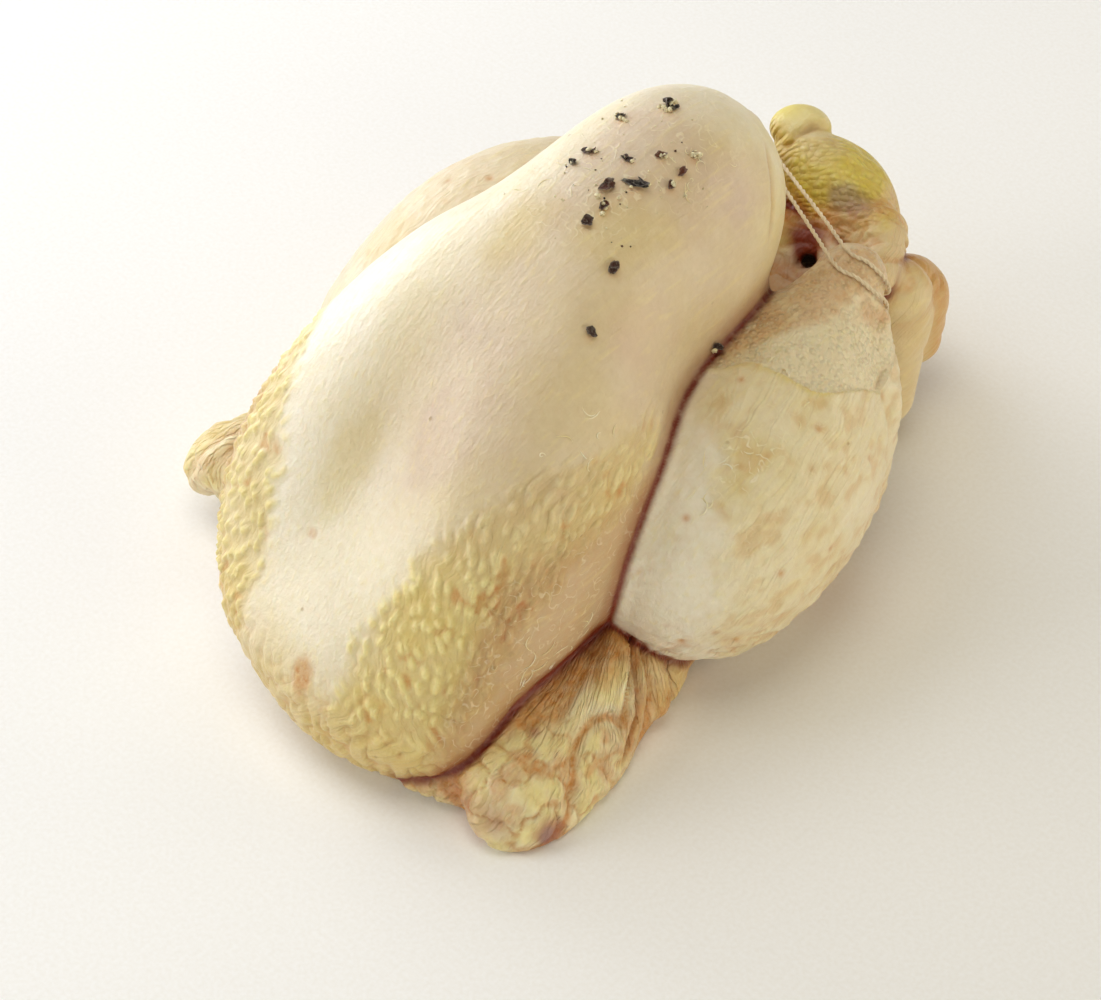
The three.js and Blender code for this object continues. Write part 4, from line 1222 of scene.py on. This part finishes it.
def flakePieces(at, length, width, turnBy, brown, shards, bits):
    # one flake: a shard of husk, smaller shards leaning on it, and pale bits around
    for k in range(shards):
        scale = peppers.uniform(0.35, 0.7) if k else 1.0 - 0.4 * (bits > 4)
        points, faces, rim = shard(length * scale, width * scale, pepper["thickness"], pepper["cup"])
        aside = np.array([*peppers.uniform(-0.3, 0.3, 2) * length, 0]) * (k > 0)
        turned = turnBy + peppers.uniform(-60, 60) * (k > 0)
        lean = peppers.uniform(-35, 35, 2) if k else peppers.uniform(-15, 15, 2)
        yield dict(points=points, faces=faces, rim=rim, at=at + aside, turn=turned, lean=lean,
                   lift=0.5 + 0.35 * k, warm=brown + peppers.uniform(-0.15, 0.15))
    for k in range(bits):
        points, faces = crumb(peppers.uniform(0.4, 0.9))
        aside = np.array([*peppers.normal(0, 0.3, 2) * length, 0])
        yield dict(points=points, faces=faces, at=at + aside, turn=peppers.uniform(0, 360), lean=(0, 0),
                   lift=peppers.uniform(0.3, 1.0), warm=-1)


def dustPiece():
    size = peppers.uniform(*pepper["dustSize"])
    points, faces = crumb(size)
    at = np.array(pepper["dustMiddle"]) + np.array([*peppers.normal(0, 1, 2) * pepper["dustSpread"], 0])
    warm = -1 if peppers.uniform() < pepper["paleDust"] else peppers.uniform(0, 0.6)
    return dict(points=points, faces=faces, at=at, turn=peppers.uniform(0, 360), lean=(0, 0),
                lift=0.4 * size, warm=warm)


def strewPepper():
    # a piece's warm value is -1 for a kernel, and says how brown a husk is
    pieces = [piece for at, *rest in pepper["flakes"] for piece in flakePieces(np.array(at), *rest)]
    pieces += [dustPiece() for _ in range(pepper["dust"])]
    feet = standAt(np.array([piece["at"] for piece in pieces], float), 0)
    ups = slopeOf(birdForm, feet)
    husks, kernels, warmth, rimHighlights = [], [], [], []
    for piece, foot, up in zip(pieces, feet, ups):
        points = laidOn(piece, foot, up)
        if piece["warm"] < -0.5:
            kernels.append((points, piece["faces"]))
        else:
            husks.append((points, piece["faces"]))
            warmth.append(np.full(len(points), np.clip(piece["warm"], 0, 1)))
            rimHighlights.append(piece.get("rim", np.zeros(len(points))))
    return joined(husks), joined(kernels), np.concatenate(warmth), np.concatenate(rimHighlights)


def pepperHusk():
    # Dried peppercorn skin: wrinkled, nearly black to rust brown, dull with a faint waxy gleam on its ridges,
    # and a painted pale grey highlight on the rim of each shard.
    look = {
        "black": "#1d1817", "grey": "#77756c", "rust": "#84462a", "rim": "#aaa395", "roughness": 0.42,
        "blotch": 1.1, "fine": 0.4,
    }
    m = newMaterial("driedPeppercornHusk")
    place = addNode(m, "ShaderNodeTexCoord").outputs["Object"]
    blotch = noiseAt(m, place, perMetre(look["blotch"]), 4, 0.65)
    fine = noiseAt(m, place, perMetre(look["fine"]), 3, 0.7)
    rust = maths(m, "MULTIPLY", mask(m, "warm"), spread(m, fine, 0.3, 0.62, 0.35, 1.0))
    # painted highlight: pale grey on the rim of each shard
    rim = maths(m, "MULTIPLY", mask(m, "rim"), spread(m, blotch, 0.4, 0.6, 0.1, 0.75))
    colour = tint(m, spread(m, blotch, 0.5, 0.68), linear(look["black"]), linear(look["grey"]))
    colour = tint(m, rim, tint(m, rust, colour, linear(look["rust"])), linear(look["rim"]))
    surface = addNode(m, "ShaderNodeBump", Strength=1.0, Distance=0.0006, Height=fine).outputs[0]
    shader = addNode(m, "ShaderNodeBsdfPrincipled", Base_Color=colour, Roughness=look["roughness"], IOR=1.45,
                     Normal=surface)
    return finishMaterial(m, shader)


def pepperKernel():
    # Broken peppercorn heart: chalky cream, with grey-brown skin still clinging to it in places.
    look = {"cream": "#e9dfb9", "tan": "#a58a55", "roughness": 0.7, "blotch": 0.9}
    m = newMaterial("crackedPeppercornKernel")
    place = addNode(m, "ShaderNodeTexCoord").outputs["Object"]
    blotch = noiseAt(m, place, perMetre(look["blotch"]), 4, 0.65)
    colour = tint(m, spread(m, blotch, 0.5, 0.68), linear(look["cream"]), linear(look["tan"]))
    surface = addNode(m, "ShaderNodeBump", Strength=0.6, Distance=0.0002, Height=blotch).outputs[0]
    shader = addNode(m, "ShaderNodeBsdfPrincipled", Base_Color=colour, Roughness=look["roughness"], IOR=1.45,
                     Normal=surface, Subsurface_Weight=0.15, Subsurface_Radius=(1.0, 0.8, 0.5),
                     Subsurface_Scale=0.0006)
    return finishMaterial(m, shader)


huskMesh, kernelMesh, huskWarmth, huskRimHighlights = strewPepper()
husks = makeObject("pepperHusks", *huskMesh, smooth=False)
addMask(husks, "warm", huskWarmth)
addMask(husks, "rim", huskRimHighlights)
husks.data.materials.append(pepperHusk())
kernels = makeObject("pepperKernels", *kernelMesh)
kernels.data.materials.append(pepperKernel())
for piece, slot in ((husks, "cracked_pepper"), (kernels, "pepper_kernel")):
    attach(piece, "root")
print("pepper strewn")


# shreds: threads of torn outer skin on the leg and fine ones beside the pepper

shreds = {
    # middle, spread, how many, shortest and longest length, thickness
    "spots": [
        ((66, 9, 70), (8, 10, 4), 20, (4, 8), 0.24), ((70, 34, 72), (7, 9, 5), 8, (3, 6), 0.2),
        ((62, 41, 78), (12, 3, 2), 12, (2, 4.5), 0.26), ((-4, 20, 128), (9, 10, 3), 12, (4, 9), 0.16),
        ((18, 50, 127), (8, 11, 3), 10, (3, 8), 0.15), ((40, -22, 92), (5, 14, 5), 8, (3, 6), 0.18),
        ((58, -50, 40), (5, 14, 10), 14, (4, 9), 0.15),
    ],
    "stops": 10, "sway": 9, "lift": 0.25, "seed": 5,
}


def skinThreads():
    draw = np.random.default_rng(shreds["seed"])
    middles, spreads, numbers, lengths, thicks = zip(*shreds["spots"])
    count, stops = sum(numbers), shreds["stops"]
    scattered = [draw.uniform(-1, 1, (number, 3)) * around for number, around in zip(numbers, spreads)]
    at = np.repeat(middles, numbers, axis=0) + np.vstack(scattered)
    length = np.concatenate([draw.uniform(*pair, number) for pair, number in zip(lengths, numbers)])
    thickness = np.repeat(thicks, numbers)
    at = standAt(at, 0)
    up = slopeOf(birdForm, at)
    heading = np.cross(up, draw.normal(0, 1, (count, 3)))
    heading /= np.linalg.norm(heading, axis=1)[:, None]
    bend, path = draw.normal(0, shreds["sway"], count), [at]
    for _ in range(stops):
        bend = bend + draw.normal(0, shreds["sway"] / 2, count)
        a = np.radians(bend)[:, None]
        heading = heading * np.cos(a) + np.cross(up, heading) * np.sin(a)
        path.append(path[-1] + heading * length[:, None] / stops)
    path = np.stack(path, 1)
    arch = np.sin(np.linspace(0, math.pi, stops + 1))
    height = shreds["lift"] * draw.uniform(0, 1, (count, 1)) * arch - 0.6 * thickness[:, None]
    path = standAt(path.reshape(-1, 3), height.reshape(-1, 1)).reshape(path.shape)
    return joined([tube(line, thick * (0.3 + 0.7 * arch), 5) for line, thick in zip(path, thickness)])


def tornSkin():
    # Torn cuticle: dried threads of outer skin, pale yellow, half matt, with light coming through.
    look = {"cream": "#fbf2d6", "yellow": "#eedca6", "roughness": 0.5, "blotch": 6}
    m = newMaterial("driedCuticleThread")
    place = addNode(m, "ShaderNodeTexCoord").outputs["Object"]
    share = spread(m, noiseAt(m, place, perMetre(look["blotch"]), 3), 0.4, 0.65)
    colour = tint(m, share, linear(look["cream"]), linear(look["yellow"]))
    shader = addNode(m, "ShaderNodeBsdfPrincipled", Base_Color=colour, Roughness=look["roughness"], IOR=1.42,
                     Subsurface_Weight=0.3, Subsurface_Radius=(1.0, 0.7, 0.4), Subsurface_Scale=0.001)
    return finishMaterial(m, shader)


threads = makeObject("tornSkin", *skinThreads())
threads.data.materials.append(tornSkin())
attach(threads, "root")
print("threads laid")


# floor, light and camera

camera = {"azimuth": 43, "elevation": 47, "distance": 0.9, "lookAt": (0.0204, -0.038, 0.045), "lens": 103.0}
studio = {
    "paper": "#fbfaf7", "fleck": "#f6f4ef", "tooth": 1.25, "floorHalf": 3000, "floorTop": -0.05,
    "sky": "#ffffff", "skyStrength": 0.05, "lightDistance": 1.3,
}
# azimuth, elevation, width, power and colour of each light
lights = {
    "topPanel": (0, 88, 0.8, 4.4, "#fbf6e2"),
    "leftWindow": (-80, 52, 0.9, 5.6, "#f3f6ff"),
    "leftLow": (-95, 15, 0.9, 10.5, "#f3f6ff"),
    "frontPanel": (-38, 22, 0.8, 6.0, "#fcfbff"),
    "nearFill": (30, 16, 0.8, 2.8, "#fbf8ea"),
    "rightFill": (92, 14, 0.8, 4.8, "#fbf5e0"),
    "backFill": (140, 15, 0.8, 4.2, "#fff2e0"),
    "backLeft": (-150, 42, 0.8, 1.8, "#fdfaf4"),
}


def direction(azimuth, elevation):
    a, e = math.radians(azimuth), math.radians(elevation)
    return Vector((math.sin(a) * math.cos(e), -math.cos(a) * math.cos(e), math.sin(e)))


def areaLight(name, azimuth, elevation, size, power, colour):
    data = bpy.data.lights.new(name, "AREA")
    data.shape, data.size, data.energy = "DISK", size, power
    data.color = linear(colour)[:3]
    lamp = bpy.data.objects.new(name, data)
    lamp.location = direction(azimuth, elevation) * studio["lightDistance"]
    lamp.rotation_mode = "QUATERNION"
    lamp.rotation_quaternion = (-direction(azimuth, elevation)).to_track_quat("-Z", "Y")
    bpy.context.scene.collection.objects.link(lamp)


def paperFloor():
    # Matt white studio paper.
    m = newMaterial("mattStudioPaper")
    place = addNode(m, "ShaderNodeTexCoord").outputs["Object"]
    share = spread(m, noiseAt(m, place, perMetre(studio["tooth"]), 3), 0.3, 0.7)
    colour = tint(m, share, linear(studio["paper"]), linear(studio["fleck"]))
    shader = addNode(m, "ShaderNodeBsdfPrincipled", Base_Color=colour, Roughness=0.95)
    return finishMaterial(m, shader)


half, top = studio["floorHalf"], studio["floorTop"]
floorCorners = np.array([[-half, -half, top], [half, -half, top], [half, half, top], [-half, half, top]])
floor = makeObject("studioFloor", floorCorners, [[0, 1, 2, 3]])
floor.data.materials.append(paperFloor())
for name, values in lights.items():
    areaLight(name, *values)

world = bpy.data.worlds.new("studioSky")
world.use_nodes = True
world.node_tree.nodes["Background"].inputs["Color"].default_value = linear(studio["sky"])
world.node_tree.nodes["Background"].inputs["Strength"].default_value = studio["skyStrength"]
bpy.context.scene.world = world
bpy.context.scene.view_settings.view_transform = "Standard"

cameraData = bpy.data.cameras.new("camera")
cameraData.lens, cameraData.sensor_width = camera["lens"], 36
cameraData.clip_start, cameraData.clip_end = 0.05, 20
cameraObject = bpy.data.objects.new("camera", cameraData)
back = direction(camera["azimuth"], camera["elevation"])
cameraObject.location = Vector(camera["lookAt"]) + back * camera["distance"]
cameraObject.rotation_mode = "QUATERNION"
cameraObject.rotation_quaternion = back.to_track_quat("Z", "Y")
bpy.context.scene.collection.objects.link(cameraObject)
bpy.context.scene.camera = cameraObject

print("scene ready")
